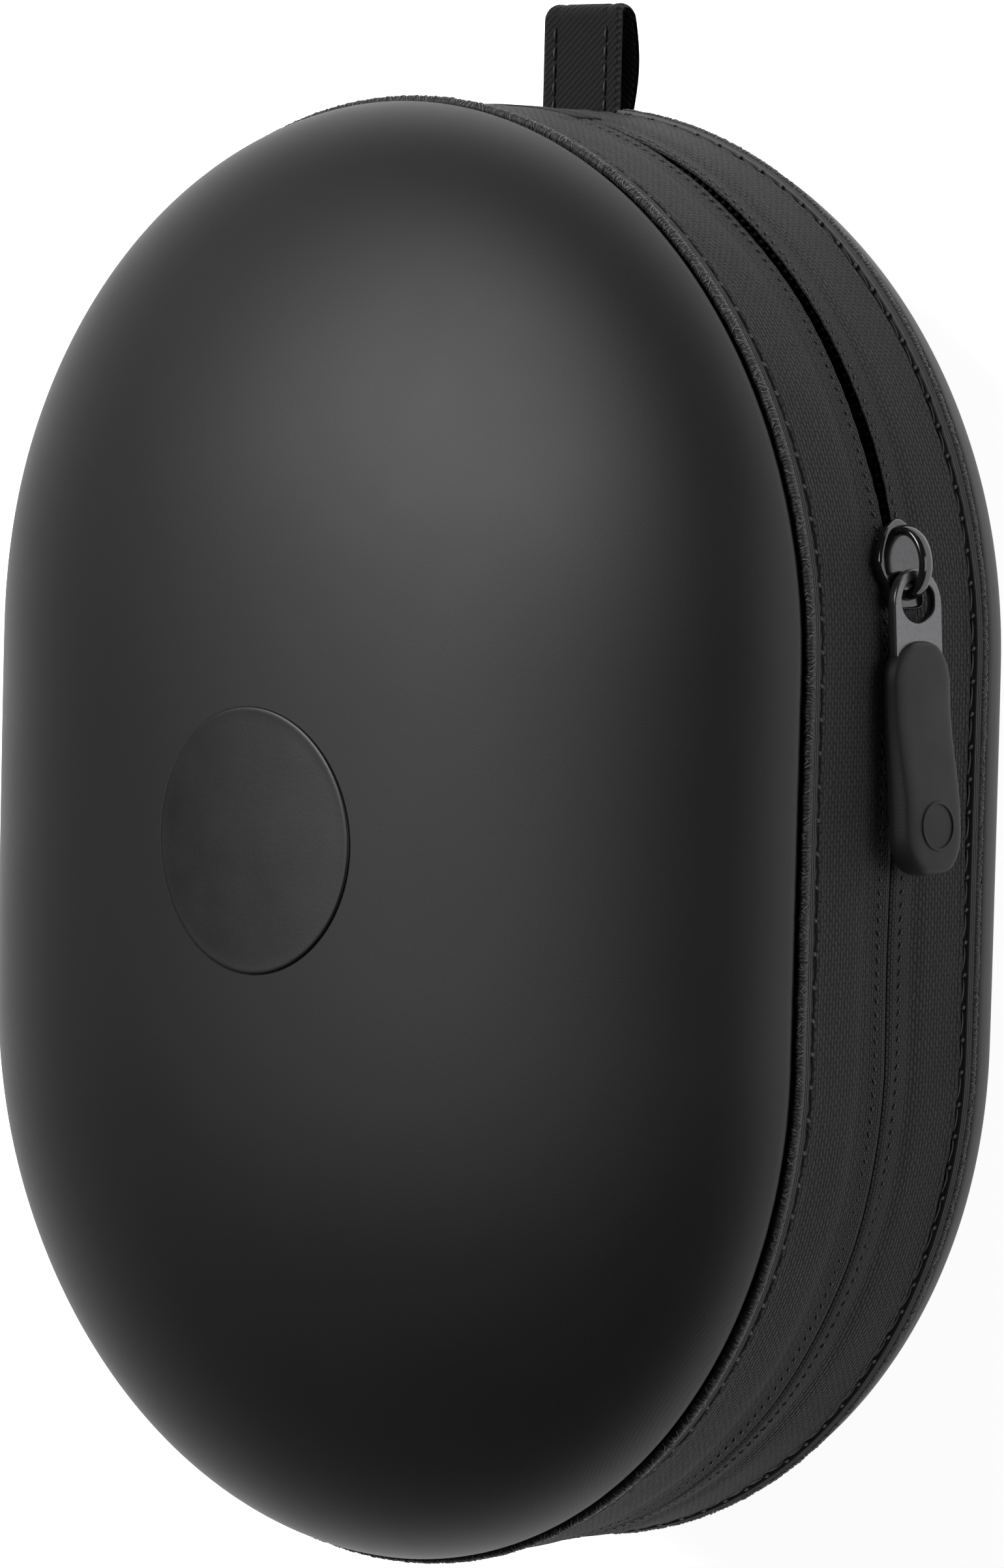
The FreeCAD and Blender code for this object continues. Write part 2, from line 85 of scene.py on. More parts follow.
HINGE = Vector(joint("lid_hinge")["pos_m"]) / MM
TURN = Vector(joint("slider_travel")["pos_m"]) / MM
PIVOT = Vector(joint("puller_swing")["pos_m"]) / MM
ZIP_PLANE = HINGE.z
STRAIGHT = TURN.y                                   # half of the straight run
RADIUS = HINGE.y - STRAIGHT                         # band's face round both ends
BAND_TOP = high("lid_band").z - ZIP_PLANE
RIM = low("lid_shell_skin").z - ZIP_PLANE
SEAM = (BAND_TOP + RIM) / 2
RISE = high("lid_shell_skin").z - ZIP_PLANE - SEAM
BAND_THICK = high("base_band").x - high("base_band_stiffener").x

ARC = math.pi * RADIUS


# ---- mesh helpers ----

def new_object(name, verts, faces, smooth=True):
    mesh = bpy.data.meshes.new(name)
    mesh.from_pydata(np.asarray(verts, float).tolist(), [], np.asarray(faces).tolist())
    mesh.validate()
    if smooth:
        mesh.shade_smooth()
    obj = bpy.data.objects.new(name, mesh)
    bpy.context.scene.collection.objects.link(obj)
    return obj


def grid_faces(rows, columns, wrap_rows, wrap_columns, first=0):
    index = np.arange(rows * columns).reshape(rows, columns) + first
    if wrap_rows:
        index = np.vstack([index, index[:1]])
    if wrap_columns:
        index = np.hstack([index, index[:, :1]])
    corners = (index[:-1, :-1], index[1:, :-1], index[1:, 1:], index[:-1, 1:])
    return np.stack(corners, -1).reshape(-1, 4)


def tidy(obj, merge=1e-6):
    """Merge coincident points and turn all faces outward."""
    work = bmesh.new()
    work.from_mesh(obj.data)
    bmesh.ops.remove_doubles(work, verts=work.verts, dist=merge)
    bmesh.ops.dissolve_degenerate(work, edges=work.edges, dist=merge / 10)
    bmesh.ops.recalc_face_normals(work, faces=work.faces)
    work.to_mesh(obj.data)
    work.free()
    obj.data.shade_smooth()
    return obj


def mark(obj, values, name="cloth"):
    """Store a coordinate in millimetres on each point, for weaves to follow."""
    layer = obj.data.attributes.new(name, "FLOAT_VECTOR", "POINT")
    layer.data.foreach_set("vector", np.asarray(values, np.float32).ravel())
    return obj


class Track:
    """A stadium outline: `core` is half the straight run, `radius` the size that lengths refer to."""

    def __init__(self, core, radius):
        self.core = core
        self.radius = radius
        self.arc = math.pi * radius
        self.length = 4 * core + 2 * self.arc

    def stations(self, step):
        """Lengths round the whole outline, alike on both straights."""
        straight = max(2, round(2 * self.core / step))
        arc = max(8, round(self.arc / step))
        a = np.linspace(-self.core, self.core, straight, endpoint=False)
        b = self.core + np.linspace(0, self.arc, arc, endpoint=False)
        c = self.core + self.arc + np.linspace(0, 2 * self.core, straight, endpoint=False)
        d = 3 * self.core + self.arc + np.linspace(0, self.arc, arc, endpoint=False)
        every = np.concatenate([a, b, c, d])
        half = self.length / 2
        return np.sort((every + half) % self.length - half)

    def place(self, length, r):
        """x, y of a point at radius r from the core, and the outward normal's x, y."""
        half = self.length / 2
        length = (np.asarray(length, float) + half) % self.length - half
        side = np.where(length < 0, -1.0, 1.0)
        m = np.abs(length)
        angle = np.clip((m - self.core) / self.radius, 0, math.pi)
        far = np.clip(m - self.core - self.arc, 0, self.core)
        centre_y = side * (np.minimum(m, self.core) - far)
        nx = np.cos(angle)
        ny = side * np.sin(angle)
        return r * nx, centre_y + r * ny, nx, ny


case = Track(STRAIGHT, RADIUS)


def carried(name, track, lengths, r, z, wrap=True, closed=True):
    """Section points r, z (stations by points, or one row) carried round a track."""
    r = np.broadcast_to(r, (len(lengths), np.shape(r)[-1]))
    z = np.broadcast_to(z, r.shape)
    x, y, _, _ = track.place(lengths[:, None], r)
    points = np.stack([x, y, z], -1)
    faces = grid_faces(*r.shape, wrap, closed)
    obj = new_object(name, points.reshape(-1, 3) * MM, faces)
    coordinate = np.stack([np.broadcast_to(lengths[:, None], r.shape), z, r], -1)
    return mark(obj, coordinate.reshape(-1, 3))


def tube(path, reference, radius, sides=6, flatten=1.0, closed=False):
    """Points and faces of a tube along a path; `reference` steers its section."""
    path = np.asarray(path, float)
    if closed:
        tangent = np.roll(path, -1, 0) - np.roll(path, 1, 0)
    else:
        tangent = np.gradient(path, axis=0)
    tangent /= np.linalg.norm(tangent, axis=1, keepdims=True)
    normal = reference - (reference * tangent).sum(1, keepdims=True) * tangent
    normal /= np.linalg.norm(normal, axis=1, keepdims=True)
    across = np.cross(tangent, normal)
    turn = np.linspace(0, 2 * math.pi, sides, endpoint=False)
    radius = np.broadcast_to(radius, len(path))[:, None, None]
    ring = np.cos(turn)[None, :, None] * normal[:, None] * flatten
    ring = ring + np.sin(turn)[None, :, None] * across[:, None]
    points = path[:, None] + radius * ring
    faces = [grid_faces(len(path), sides, closed, True)]
    if not closed:
        faces.append(np.array([np.arange(sides)[::-1]]))
        faces.append(np.array([np.arange(sides) + (len(path) - 1) * sides]))
    return points.reshape(-1, 3), faces


def gather(name, tubes):
    """One object from many tubes."""
    verts, faces, first = [], [], 0
    for points, parts in tubes:
        verts.append(points)
        for part in parts:
            faces.extend((part + first).tolist())
        first += len(points)
    return new_object(name, np.concatenate(verts) * MM, np.array(faces, dtype=object))


# ---- materials ----

class Nodes:
    """Small helper for building one material's nodes."""

    def __init__(self, name, base, roughness, **fixed):
        self.material = bpy.data.materials.new(name)
        self.material.use_nodes = True
        self.tree = self.material.node_tree
        self.shader = self.tree.nodes["Principled BSDF"]
        self.shader.inputs["Base Color"].default_value = (*base, 1)
        self.shader.inputs["Roughness"].default_value = roughness
        for socket, value in fixed.items():
            self.shader.inputs[socket.replace("_", " ")].default_value = value
        self.height = None

    def node(self, kind, **values):
        node = self.tree.nodes.new(kind)
        for key, value in values.items():
            if key in node.inputs:
                node.inputs[key].default_value = value
            else:
                setattr(node, key, value)
        return node

    def link(self, a, b):
        self.tree.links.new(a, b)

    def place(self, attribute=None):
        """Object coordinates in metres, or a stored coordinate in millimetres."""
        if attribute:
            return self.node("ShaderNodeAttribute", attribute_name=attribute).outputs["Vector"]
        return self.node("ShaderNodeTexCoord").outputs["Object"]

    def scaled(self, vector, scale, turn=0.0):
        mapping = self.node("ShaderNodeMapping", Scale=scale, Rotation=(0, 0, turn))
        self.link(vector, mapping.inputs["Vector"])
        return mapping.outputs["Vector"]

    def noise(self, vector, scale, detail=2.0, roughness=0.5):
        noise = self.node("ShaderNodeTexNoise", Scale=scale, Detail=detail, Roughness=roughness)
        self.link(vector, noise.inputs["Vector"])
        return noise.outputs["Fac"]

    def brick(self, vector, width, height, gap):
        """Staggered grains: 1 on a grain, 0 between."""
        brick = self.node("ShaderNodeTexBrick", Scale=1.0)
        brick.inputs["Mortar Size"].default_value = gap
        brick.inputs["Mortar Smooth"].default_value = 1.0
        brick.inputs["Brick Width"].default_value = width
        brick.inputs["Row Height"].default_value = height
        self.link(vector, brick.inputs["Vector"])
        return self.maths("SUBTRACT", 1.0, brick.outputs["Fac"])

    def wave(self, vector, scale, distortion=0.0):
        wave = self.node("ShaderNodeTexWave", Scale=scale, Distortion=distortion)
        wave.inputs["Detail Scale"].default_value = 2.0
        self.link(vector, wave.inputs["Vector"])
        return wave.outputs["Fac"]

    def maths(self, operation, a, b):
        node = self.node("ShaderNodeMath", operation=operation)
        for socket, value in zip(node.inputs, (a, b)):
            if isinstance(value, (int, float)):
                socket.default_value = value
            else:
                self.link(value, socket)
        return node.outputs[0]

    def spread(self, value, low, high):
        """Remap 0..1 to low..high."""
        node = self.node("ShaderNodeMapRange")
        node.inputs["To Min"].default_value = low
        node.inputs["To Max"].default_value = high
        self.link(value, node.inputs["Value"])
        return node.outputs["Result"]

    def bump(self, value, depth, strength=1.0):
        """Add a bump of `depth` millimetres over any earlier one."""
        bump = self.node("ShaderNodeBump", Distance=depth * MM, Strength=strength)
        self.link(value, bump.inputs["Height"])
        if self.height is not None:
            self.link(self.height, bump.inputs["Normal"])
        self.height = bump.outputs["Normal"]
        self.link(self.height, self.shader.inputs["Normal"])

    def colour(self, value, dark, light):
        ramp = self.node("ShaderNodeValToRGB")
        ramp.color_ramp.elements[0].color = (*dark, 1)
        ramp.color_ramp.elements[1].color = (*light, 1)
        self.link(value, ramp.inputs["Fac"])
        self.link(ramp.outputs["Color"], self.shader.inputs["Base Color"])

    def rough(self, value, low, high):
        self.link(self.spread(value, low, high), self.shader.inputs["Roughness"])


def wave_scale(pitch):
    """Scale that gives a Wave texture this pitch."""
    return 2 * math.pi / pitch / 20


def grey(value):
    return (value, value, value * 1.04)


def knit_material():
    """Fine warp knit with slanting ribs, stretched over the moulded shell."""
    m = Nodes("shell_knit", grey(0.006), 0.5, Specular_IOR_Level=0.4)
    place = m.place()
    ribs = m.wave(m.scaled(place, (1, 1, 1), math.radians(38)), wave_scale(0.3 * MM))
    threads = m.wave(m.scaled(place, (1, 1, 1), math.radians(-52)), wave_scale(0.26 * MM))
    both = m.maths("ADD", m.maths("MULTIPLY", ribs, 0.7), m.maths("MULTIPLY", threads, 0.3))
    fine = m.noise(place, 2500.0)
    m.bump(both, 0.012, 0.5)
    m.bump(fine, 0.012, 0.4)
    m.colour(m.maths("MULTIPLY", both, m.spread(fine, 0.7, 1.2)), grey(0.0015), grey(0.006))
    m.rough(m.noise(place, 40.0), 0.5, 0.58)
    return m.material


def canvas_material(name="band_canvas", light=0.085, tape=True):
    """Rice-grain weave, finer on the tape beside the zip."""
    m = Nodes(name, grey(light), 0.7, Specular_IOR_Level=0.15, Sheen_Weight=0.05, Sheen_Roughness=0.5)
    place = m.place("cloth")
    wander = m.node("ShaderNodeTexNoise", Scale=1.3, Detail=2.0)
    m.link(place, wander.inputs["Vector"])
    shift = m.node("ShaderNodeVectorMath", operation="SCALE", Scale=0.5)
    m.link(wander.outputs["Color"], shift.inputs[0])
    moved = m.node("ShaderNodeVectorMath", operation="ADD")
    m.link(place, moved.inputs[0])
    m.link(shift.outputs[0], moved.inputs[1])
    grain = m.brick(moved.outputs[0], 1.3, 0.6, 0.28)
    fuzz = m.noise(m.scaled(place, (1, 2.2, 2.2)), 3.0, 3.0)
    weave = grain
    if tape:
        fine = m.brick(place, 0.9, 0.42, 0.14)
        split = m.node("ShaderNodeSeparateXYZ")
        m.link(place, split.inputs[0])
        near = m.node("ShaderNodeMapRange")
        near.inputs["From Min"].default_value = 3.2
        near.inputs["From Max"].default_value = 4.6
        m.link(m.maths("ABSOLUTE", split.outputs["Y"], 0.0), near.inputs["Value"])
        mix = m.node("ShaderNodeMix")
        m.link(near.outputs["Result"], mix.inputs["Factor"])
        m.link(fine, mix.inputs["A"])
        m.link(grain, mix.inputs["B"])
        weave = mix.outputs["Result"]
    m.bump(weave, 0.2, 0.9)
    m.bump(fuzz, 0.12, 0.6)
    m.colour(m.maths("MULTIPLY", weave, m.spread(fuzz, 0.6, 1.4)), grey(light * 0.4), grey(light * 1.3))
    return m.material


def twill_material():
    """Coarse slanting twill of the hang loop's strap."""
    m = Nodes("webbing", grey(0.007), 0.7, Specular_IOR_Level=0.15, Sheen_Weight=0.02, Sheen_Roughness=0.5)
    place = m.place("cloth")
    ridges = m.wave(m.scaled(place, (1, 1, 1), math.radians(50)), wave_scale(0.75), 1.2)
    yarns = m.wave(m.scaled(place, (1, 1, 1), math.radians(-20)), wave_scale(0.5), 1.0)
    fuzz = m.noise(place, 3.5, 3.0)
    both = m.maths("MULTIPLY", m.spread(ridges, 0.2, 1.0), m.spread(yarns, 0.5, 1.0))
    m.bump(both, 0.2, 0.9)
    m.bump(fuzz, 0.1, 0.5)
    m.colour(m.maths("MULTIPLY", both, m.spread(fuzz, 0.5, 1.5)), grey(0.002), grey(0.02))
    return m.material


def plain_cloth(name, light, grain=0.35, sheen=0.2):
    m = Nodes(name, grey(light), 0.7, Sheen_Weight=sheen, Sheen_Roughness=0.5)
    place = m.place()
    fine = m.noise(place, 1 / (grain * MM), 3.0)
    patches = m.noise(place, 60.0)
    m.bump(fine, 0.12, 0.7)
    m.colour(m.maths("MULTIPLY", fine, m.spread(patches, 0.7, 1.3)), grey(light * 0.3), grey(light * 1.5))
    return m.material


def ribbed_cloth(name, light, pitch, axis):
    """Cloth with ribs across one part of the stored coordinate: 0 along it, 1 across."""
    m = Nodes(name, grey(light), 0.6, Sheen_Weight=0.25, Sheen_Roughness=0.45)
    place = m.place("cloth")
    scale = (1, 0, 0) if axis == 0 else (0, 1, 0)
    turn = 0 if axis == 0 else math.radians(-90)
    ribs = m.wave(m.scaled(place, scale, turn), wave_scale(pitch))
    fuzz = m.noise(place, 5.0, 3.0)
    m.bump(ribs, 0.12, 0.8)
    m.bump(fuzz, 0.05, 0.5)
    m.colour(m.maths("MULTIPLY", ribs, m.spread(fuzz, 0.7, 1.3)), grey(light * 0.35), grey(light * 1.2))
    return m.material


def moulded(name, base, roughness, speck, depth, **fixed):
    """Rubber, plastic or painted metal with a fine speckle and soft wear."""
    m = Nodes(name, base, roughness, **fixed)
    place = m.place()
    fine = m.noise(place, 1 / (speck * MM), 2.0)
    wide = m.noise(place, 120.0, 3.0)
    m.bump(fine, depth, 0.6)
    m.rough(wide, roughness * 0.85, min(1.0, roughness * 1.2))
    dark = tuple(value * 0.8 for value in base)
    m.colour(m.maths("MULTIPLY", fine, m.spread(wide, 0.8, 1.2)), dark, tuple(v * 1.25 for v in base))
    return m.material


MATERIALS = {
    "shell_knit": knit_material(),
    "foam": plain_cloth("foam", 0.03, 0.8),
    "lining": plain_cloth("lining", 0.035, 0.3, 0.35),
    "band_canvas": canvas_material(),
    "stiffener": plain_cloth("stiffener", 0.02, 0.5),
    "piping": ribbed_cloth("piping", 0.012, 0.5, 0),
    "edge_strip": ribbed_cloth("edge_strip", 0.07, 0.36, 1),
    # Painted highlight: this thread is a lighter grey than the case's dark threads, so the overlock loops
    # show light flecks that stand in for glints on the glossy twisted thread. The binding stitches inside
    # share this grey.
    "thread": moulded("thread", grey(0.12), 0.45, 0.25, 0.03, Sheen_Weight=0.2),
    "dark_thread": moulded("dark_thread", grey(0.005), 0.5, 0.25, 0.03),
    "tape_thread": moulded("tape_thread", grey(0.02), 0.5, 0.25, 0.03),
    "binding": ribbed_cloth("binding", 0.035, 0.5, 0),
    "zip_coil": moulded("zip_coil", grey(0.004), 0.45, 0.4, 0.01),
    "zip_stop": moulded("zip_stop", grey(0.04), 0.3, 0.3, 0.01, Metallic=0.8),
    "hinge_fabric": canvas_material("hinge_fabric", 0.026, False),
    "webbing": twill_material(),
    "badge": moulded("badge", grey(0.003), 0.42, 0.5, 0.015, Specular_IOR_Level=0.45),
    "net": moulded("net", grey(0.03), 0.5, 0.2, 0.02, Sheen_Weight=0.3),
    "elastic": ribbed_cloth("elastic", 0.035, 0.8, 0),
    "slider_metal": moulded("slider_metal", grey(0.06), 0.12, 0.6, 0.003, Metallic=0.85),
    "eye_metal": moulded("eye_metal", grey(0.1), 0.3, 0.4, 0.006, Metallic=0.9),
    "grip_rubber": moulded("grip_rubber", grey(0.012), 0.55, 0.22, 0.05, Specular_IOR_Level=0.25),
}


def finish_piece(obj, body, slot, nodes=(), look=None):
    obj.data.materials.append(MATERIALS[look or slot])
    if nodes:
        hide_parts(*nodes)
    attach(obj, body)
    return obj


# ---- shells: skin outside, lining inside ----

def dome_profile(inset, start=0.0, count=60):
    """r, z of the shell's elliptic profile from `start` above its rim to the crown."""
    rise = RISE - inset
    first = math.asin((RIM - SEAM + start) / rise)
    angle = first + (math.pi / 2 - first) * np.linspace(0, 1, count)
    return (RADIUS - inset) * np.cos(angle), SEAM + rise * np.sin(angle)


def flip(side, z):
    """Height in the frame of a level above the zip plane on one side of it."""
    return ZIP_PLANE + side * z


SKIN = 1.0
RIM_GAP = 1.3                                       # dark gap between the skin and the piping


def soften_crown(obj, side):
    """Ease the dome's lengthwise curve in and out of the straight run, by under 0.2 mm."""
    for vertex in obj.data.vertices:
        x, y = vertex.co.x / MM, abs(vertex.co.y) / MM
        eased_y = y * y / (4 * STRAIGHT) if y < 2 * STRAIGHT else y - STRAIGHT
        plain = math.hypot(x, max(0.0, y - STRAIGHT)) / RADIUS
        eased = math.hypot(x, eased_y) / RADIUS
        if eased >= 1:
            continue
        drop = RISE * (math.sqrt(max(0.0, 1 - plain ** 2)) - math.sqrt(1 - eased ** 2))
        moved = vertex.co.z - side * drop * (1 - plain ** 4) * MM
        vertex.co.z = max(0.0, moved)


def shell_skin(side):
    """Moulded skin: a smooth dome whose rim turns in softly at the seam."""
    name = NAMES[side]
    outer_r, outer_z = dome_profile(0, RIM_GAP)
    rim_angle = np.linspace(0, math.pi, 9)[1:-1]
    inner_r, inner_z = dome_profile(SKIN, RIM_GAP, 20)
    middle = (outer_r[0] + inner_r[0]) / 2
    half = (outer_r[0] - inner_r[0]) / 2
    edge_r = middle - half * np.cos(rim_angle)
    edge_z = outer_z[0] - 0.6 * np.sin(rim_angle)
    r = np.concatenate([outer_r[::-1], edge_r[::-1], inner_r])
    z = np.concatenate([outer_z[::-1], edge_z, inner_z])
    z = flip(side, z)
    if side == BASE:
        z = np.maximum(z, 0)
    lengths = case.stations(1.6)
    obj = tidy(carried(name + "_skin", case, lengths, r, z, closed=False))
    soften_crown(obj, side)
    return finish_piece(obj, name, "shell_knit", [name + "_shell_skin"])


def shell_lining(side):
    """Brushed fabric inside the shell, soft at the rim and faintly quilted by the foam under it."""
    name = NAMES[side]
    outer_r, outer_z = dome_profile(4.55, 0.0, 30)
    inner_r, inner_z = dome_profile(5.15, 0.0, 50)
    swell = 0.1 * np.sin(np.linspace(0, 9 * math.pi, 50)) * np.linspace(1, 0, 50)
    r = np.concatenate([outer_r[::-1], inner_r + swell])
    z = flip(side, np.concatenate([outer_z[::-1], inner_z]))
    obj = tidy(carried(name + "_lining_cloth", case, case.stations(2.5), r, z, closed=False))
    return finish_piece(obj, name, "lining", [name + "_lining"])


for side in (LID, BASE):
    shell_skin(side)
    shell_lining(side)


# ---- bands between the shells and the zip ----

SLIDER_ANGLE = math.atan2(PIVOT.y - STRAIGHT, PIVOT.x) + 1.5 / PIVOT.x
SLIDER_TRAVEL = math.radians(48)
HINGE_HALF = 17.0                                   # from the middle of the hinge to the zip's start
SLIT_FROM = STRAIGHT + RADIUS * SLIDER_ANGLE + 0.8
SLIT_TO = STRAIGHT + RADIUS * (SLIDER_ANGLE + SLIDER_TRAVEL) + 5.5
SLIT_END = STRAIGHT + RADIUS * math.acos(HINGE_HALF / RADIUS)
HINGE_AT = STRAIGHT + ARC / 2
STITCH_PITCH = 4.4
STITCH_LEVEL = BAND_TOP - 0.53


def smooth(value):
    value = np.clip(value, 0, 1)
    return value * value * (3 - 2 * value)


def bell(value, centre, width):
    return np.exp(-((value - centre) / width) ** 2)


def slit_half(s):
    """How far each tape's edge stands off the zip plane, by place round the case."""
    near = 0.95 + 0.4 * smooth((s - SLIT_FROM - 4) / 14)
    taper = np.clip((SLIT_END - s) / (SLIT_END - SLIT_TO), 0, 1)
    wide = np.where(s < SLIT_TO, near, near * np.minimum(1, taper))
    wide = wide + 0.05 * np.sin(s * 1.9) * (taper > 0.3)
    inside = smooth((s - SLIT_FROM) / 1.2) * (s < SLIT_END)
    return 0.03 + wide * inside


def at_hinge(s, soft=3.0):
    """1 in the stretch without a zip, 0 elsewhere."""
    away = np.abs(s - HINGE_AT)
    return smooth((HINGE_HALF - away) / soft + 0.5)


def band_relief(s, z):
    """Height of the woven face over the band's plain face, z from the zip plane."""
    free = 1 - at_hinge(s)
    phase = 2 * math.pi * s / STITCH_PITCH
    knot = np.abs(np.cos(phase / 2)) ** 8
    groove = -0.8 * bell(z, 15.72, 0.38) * (1 - 0.35 * knot)
    pucker = 0.22 * bell(z, 14.75, 0.6) * (0.35 + 0.65 * np.abs(np.cos(phase / 2 + (z - 15) * 0.9)) ** 4)
    crease = -0.4 * bell(z, 4.7, 1.4)
    tape = -0.12 * smooth((4.2 - z) / 0.8)
    dimples = -0.3 * bell(z, 2.3, 0.35) * (0.5 + 0.5 * np.cos(2 * math.pi * s / 1.8)) ** 2
    fold = -0.35 * np.clip(1 - z / 0.7, 0, 1) ** 2 + 0.1 * bell(z, 1.0, 0.35)
    waves = 0.07 * np.sin(s / 9.3 + z * 0.21) + 0.05 * np.sin(s / 4.1 - z * 0.33 + 1.7)
    belly = 0.12 * np.sin(math.pi * np.clip((z - 4.5) / 11.2, 0, 1))
    return groove + pucker + belly + waves + free * (crease * 0.9 + tape + dimples + fold)


BAND_LEVELS = np.concatenate([
    np.linspace(0, 4.2, 15), np.linspace(4.5, 13.5, 13), np.linspace(14, BAND_TOP, 13),
])


def band_cloth(side):
    name = NAMES[side]
    s = case.stations(0.55)
    edge = slit_half(s)[:, None]
    level = BAND_LEVELS[None, :]
    z = edge + level * (1 - edge / BAND_TOP)
    outer = RADIUS - 0.1 + band_relief(s[:, None], z)
    inner_level = np.array([1.0, 0.6, 0.25, 0.04])[None, :]
    inner_z = edge + (BAND_TOP - edge) * inner_level
    inner = np.full_like(inner_z, RADIUS - BAND_THICK + 0.02)
    inner[:, -1] += 0.25
    r = np.hstack([outer, inner])
    z = np.hstack([z, inner_z])
    x, y, _, _ = case.place(s[:, None], r)
    points = np.stack([x, y, flip(side, z)], -1).reshape(-1, 3)
    obj = new_object(name + "_band_cloth", points * MM, grid_faces(*r.shape, True, True))
    mark(obj, np.stack([np.broadcast_to(s[:, None], r.shape), z, r], -1).reshape(-1, 3))
    tidy(obj)
    return finish_piece(obj, name, "band_canvas", [name + "_band"])


def stitch_row(name, side, level, r, pitch, length, thick, skip=None):
    """Row of stitches that dive into the cloth at each end."""
    count = round(case.length / pitch)
    tubes = []
    share = np.linspace(-0.5, 0.5, 7)
    sink = 0.4 * (2 * np.abs(share)) ** 3
    for k in range(count):
        middle = k * case.length / count
        if skip and skip(middle):
            continue
        s = middle + share * length
        z = np.full(7, flip(side, level)) + side * 0.16 * np.sin(share * 3)
        x, y, nx, ny = case.place(s, r - sink)
        normal = np.stack([nx, ny, 0 * nx], -1)
        tubes.append(tube(np.stack([x, y, z], -1), normal, thick))
    obj = tidy(gather(name, tubes))
    return obj


def loop_gap(s):
    """True where the hang loop comes out of the base's seam."""
    return abs(s - HINGE_AT) < 7.5


def seam_stations(side, step):
    """Stations for an edge piece; the base's has a gap for the hang loop."""
    if side == LID:
        return case.stations(step), True
    start = HINGE_AT + 7.55
    end = HINGE_AT - 7.55 + case.length
    return np.linspace(start, end, round((end - start) / step)), False


def edge_strip(side):
    """Flat ribbed strip between the stitches and the shell's seam."""
    name = NAMES[side]
    s, wrap = seam_stations(side, 1.1)
    across = np.linspace(0, 1, 17)
    face_z = 16.08 + 1.3 * across
    ribs = 0.09 * np.abs(np.sin(across * math.pi * 4))
    face_r = RADIUS + 0.28 + ribs - 0.35 * (1 - smooth(across / 0.1)) - 0.2 * smooth((across - 0.85) / 0.15)
    back_r = np.full(3, RADIUS - 0.75)
    back_z = np.array([17.38, 16.7, 16.2])
    r = np.concatenate([face_r, back_r])
    z = np.concatenate([face_z, back_z])
    obj = carried(name + "_edge_strip", case, s, r, flip(side, z), wrap)
    return close_ends(obj, name, "piping", [name + "_piping"], "edge_strip")


def fill_ends(obj):
    """Fill open ends and turn all faces outward."""
    work = bmesh.new()
    work.from_mesh(obj.data)
    edges = [edge for edge in work.edges if edge.is_boundary]
    if edges:
        bmesh.ops.holes_fill(work, edges=edges, sides=0)
    bmesh.ops.recalc_face_normals(work, faces=work.faces)
    work.to_mesh(obj.data)
    work.free()
    obj.data.shade_smooth()


def close_ends(obj, body, slot, nodes, look=None):
    fill_ends(obj)
    return finish_piece(obj, body, slot, nodes, look)


BEAD_R = RADIUS - 0.1
BEAD_Z = SEAM + 0.43


def overlock(side):
    """Bead wrapped in overlock thread, uneven as the real edge is."""
    name = NAMES[side]
    s, wrap = seam_stations(side, 0.16)
    turn = np.linspace(0, 2 * math.pi, 12, endpoint=False)
    phase = math.pi * s[:, None] / 0.8 + 0.5 * turn[None, :]
    loose = np.interp(s, np.linspace(s[0], s[-1], 700), rng.normal(0, 1, 700))[:, None]
    radius = 0.56 + 0.15 * np.abs(np.sin(phase)) ** 0.7 + 0.035 * loose
    r = BEAD_R + radius * np.cos(turn)
    z = BEAD_Z + 0.04 * loose + radius * np.sin(turn)
    obj = carried(name + "_overlock_edge", case, s, r, flip(side, z), wrap)
    return close_ends(obj, name, "piping", [name + "_piping"])


def overlock_loops(side):
    """Thread loops that cross over the bead, each a little different, in a lighter grey that paints the
    thread's glints.
    """
    name = NAMES[side]
    count = round(case.length / 0.3)
    tubes = []
    share = np.linspace(0, 1, 6)
    for k in range(count):
        middle = (k + rng.uniform(-0.4, 0.4)) * case.length / count
        if side == BASE and loop_gap((middle + case.length / 2) % case.length - case.length / 2):
            continue
        lean = rng.uniform(-0.75, 0.75)
        start = rng.uniform(-1.4, 1.0)
        end = start + rng.uniform(0.6, 1.5)
        reach = 0.6 + rng.uniform(-0.03, 0.08) + 0.06 * np.sin(share * math.pi)
        turn = start + (end - start) * share
        x, y, nx, ny = case.place(middle + lean * (share - 0.5), BEAD_R + reach * np.cos(turn))
        z = flip(side, BEAD_Z + reach * np.sin(turn))
        normal = np.stack([nx, ny, 0 * nx], -1)
        tubes.append(tube(np.stack([x, y, z], -1), normal, rng.uniform(0.05, 0.085), 5))
    obj = tidy(gather(name + "_overlock_loops", tubes))
    # The loops get the lighter thread grey, a painted highlight for glints on the twisted thread.
    return finish_piece(obj, name, "piping", (), "thread")


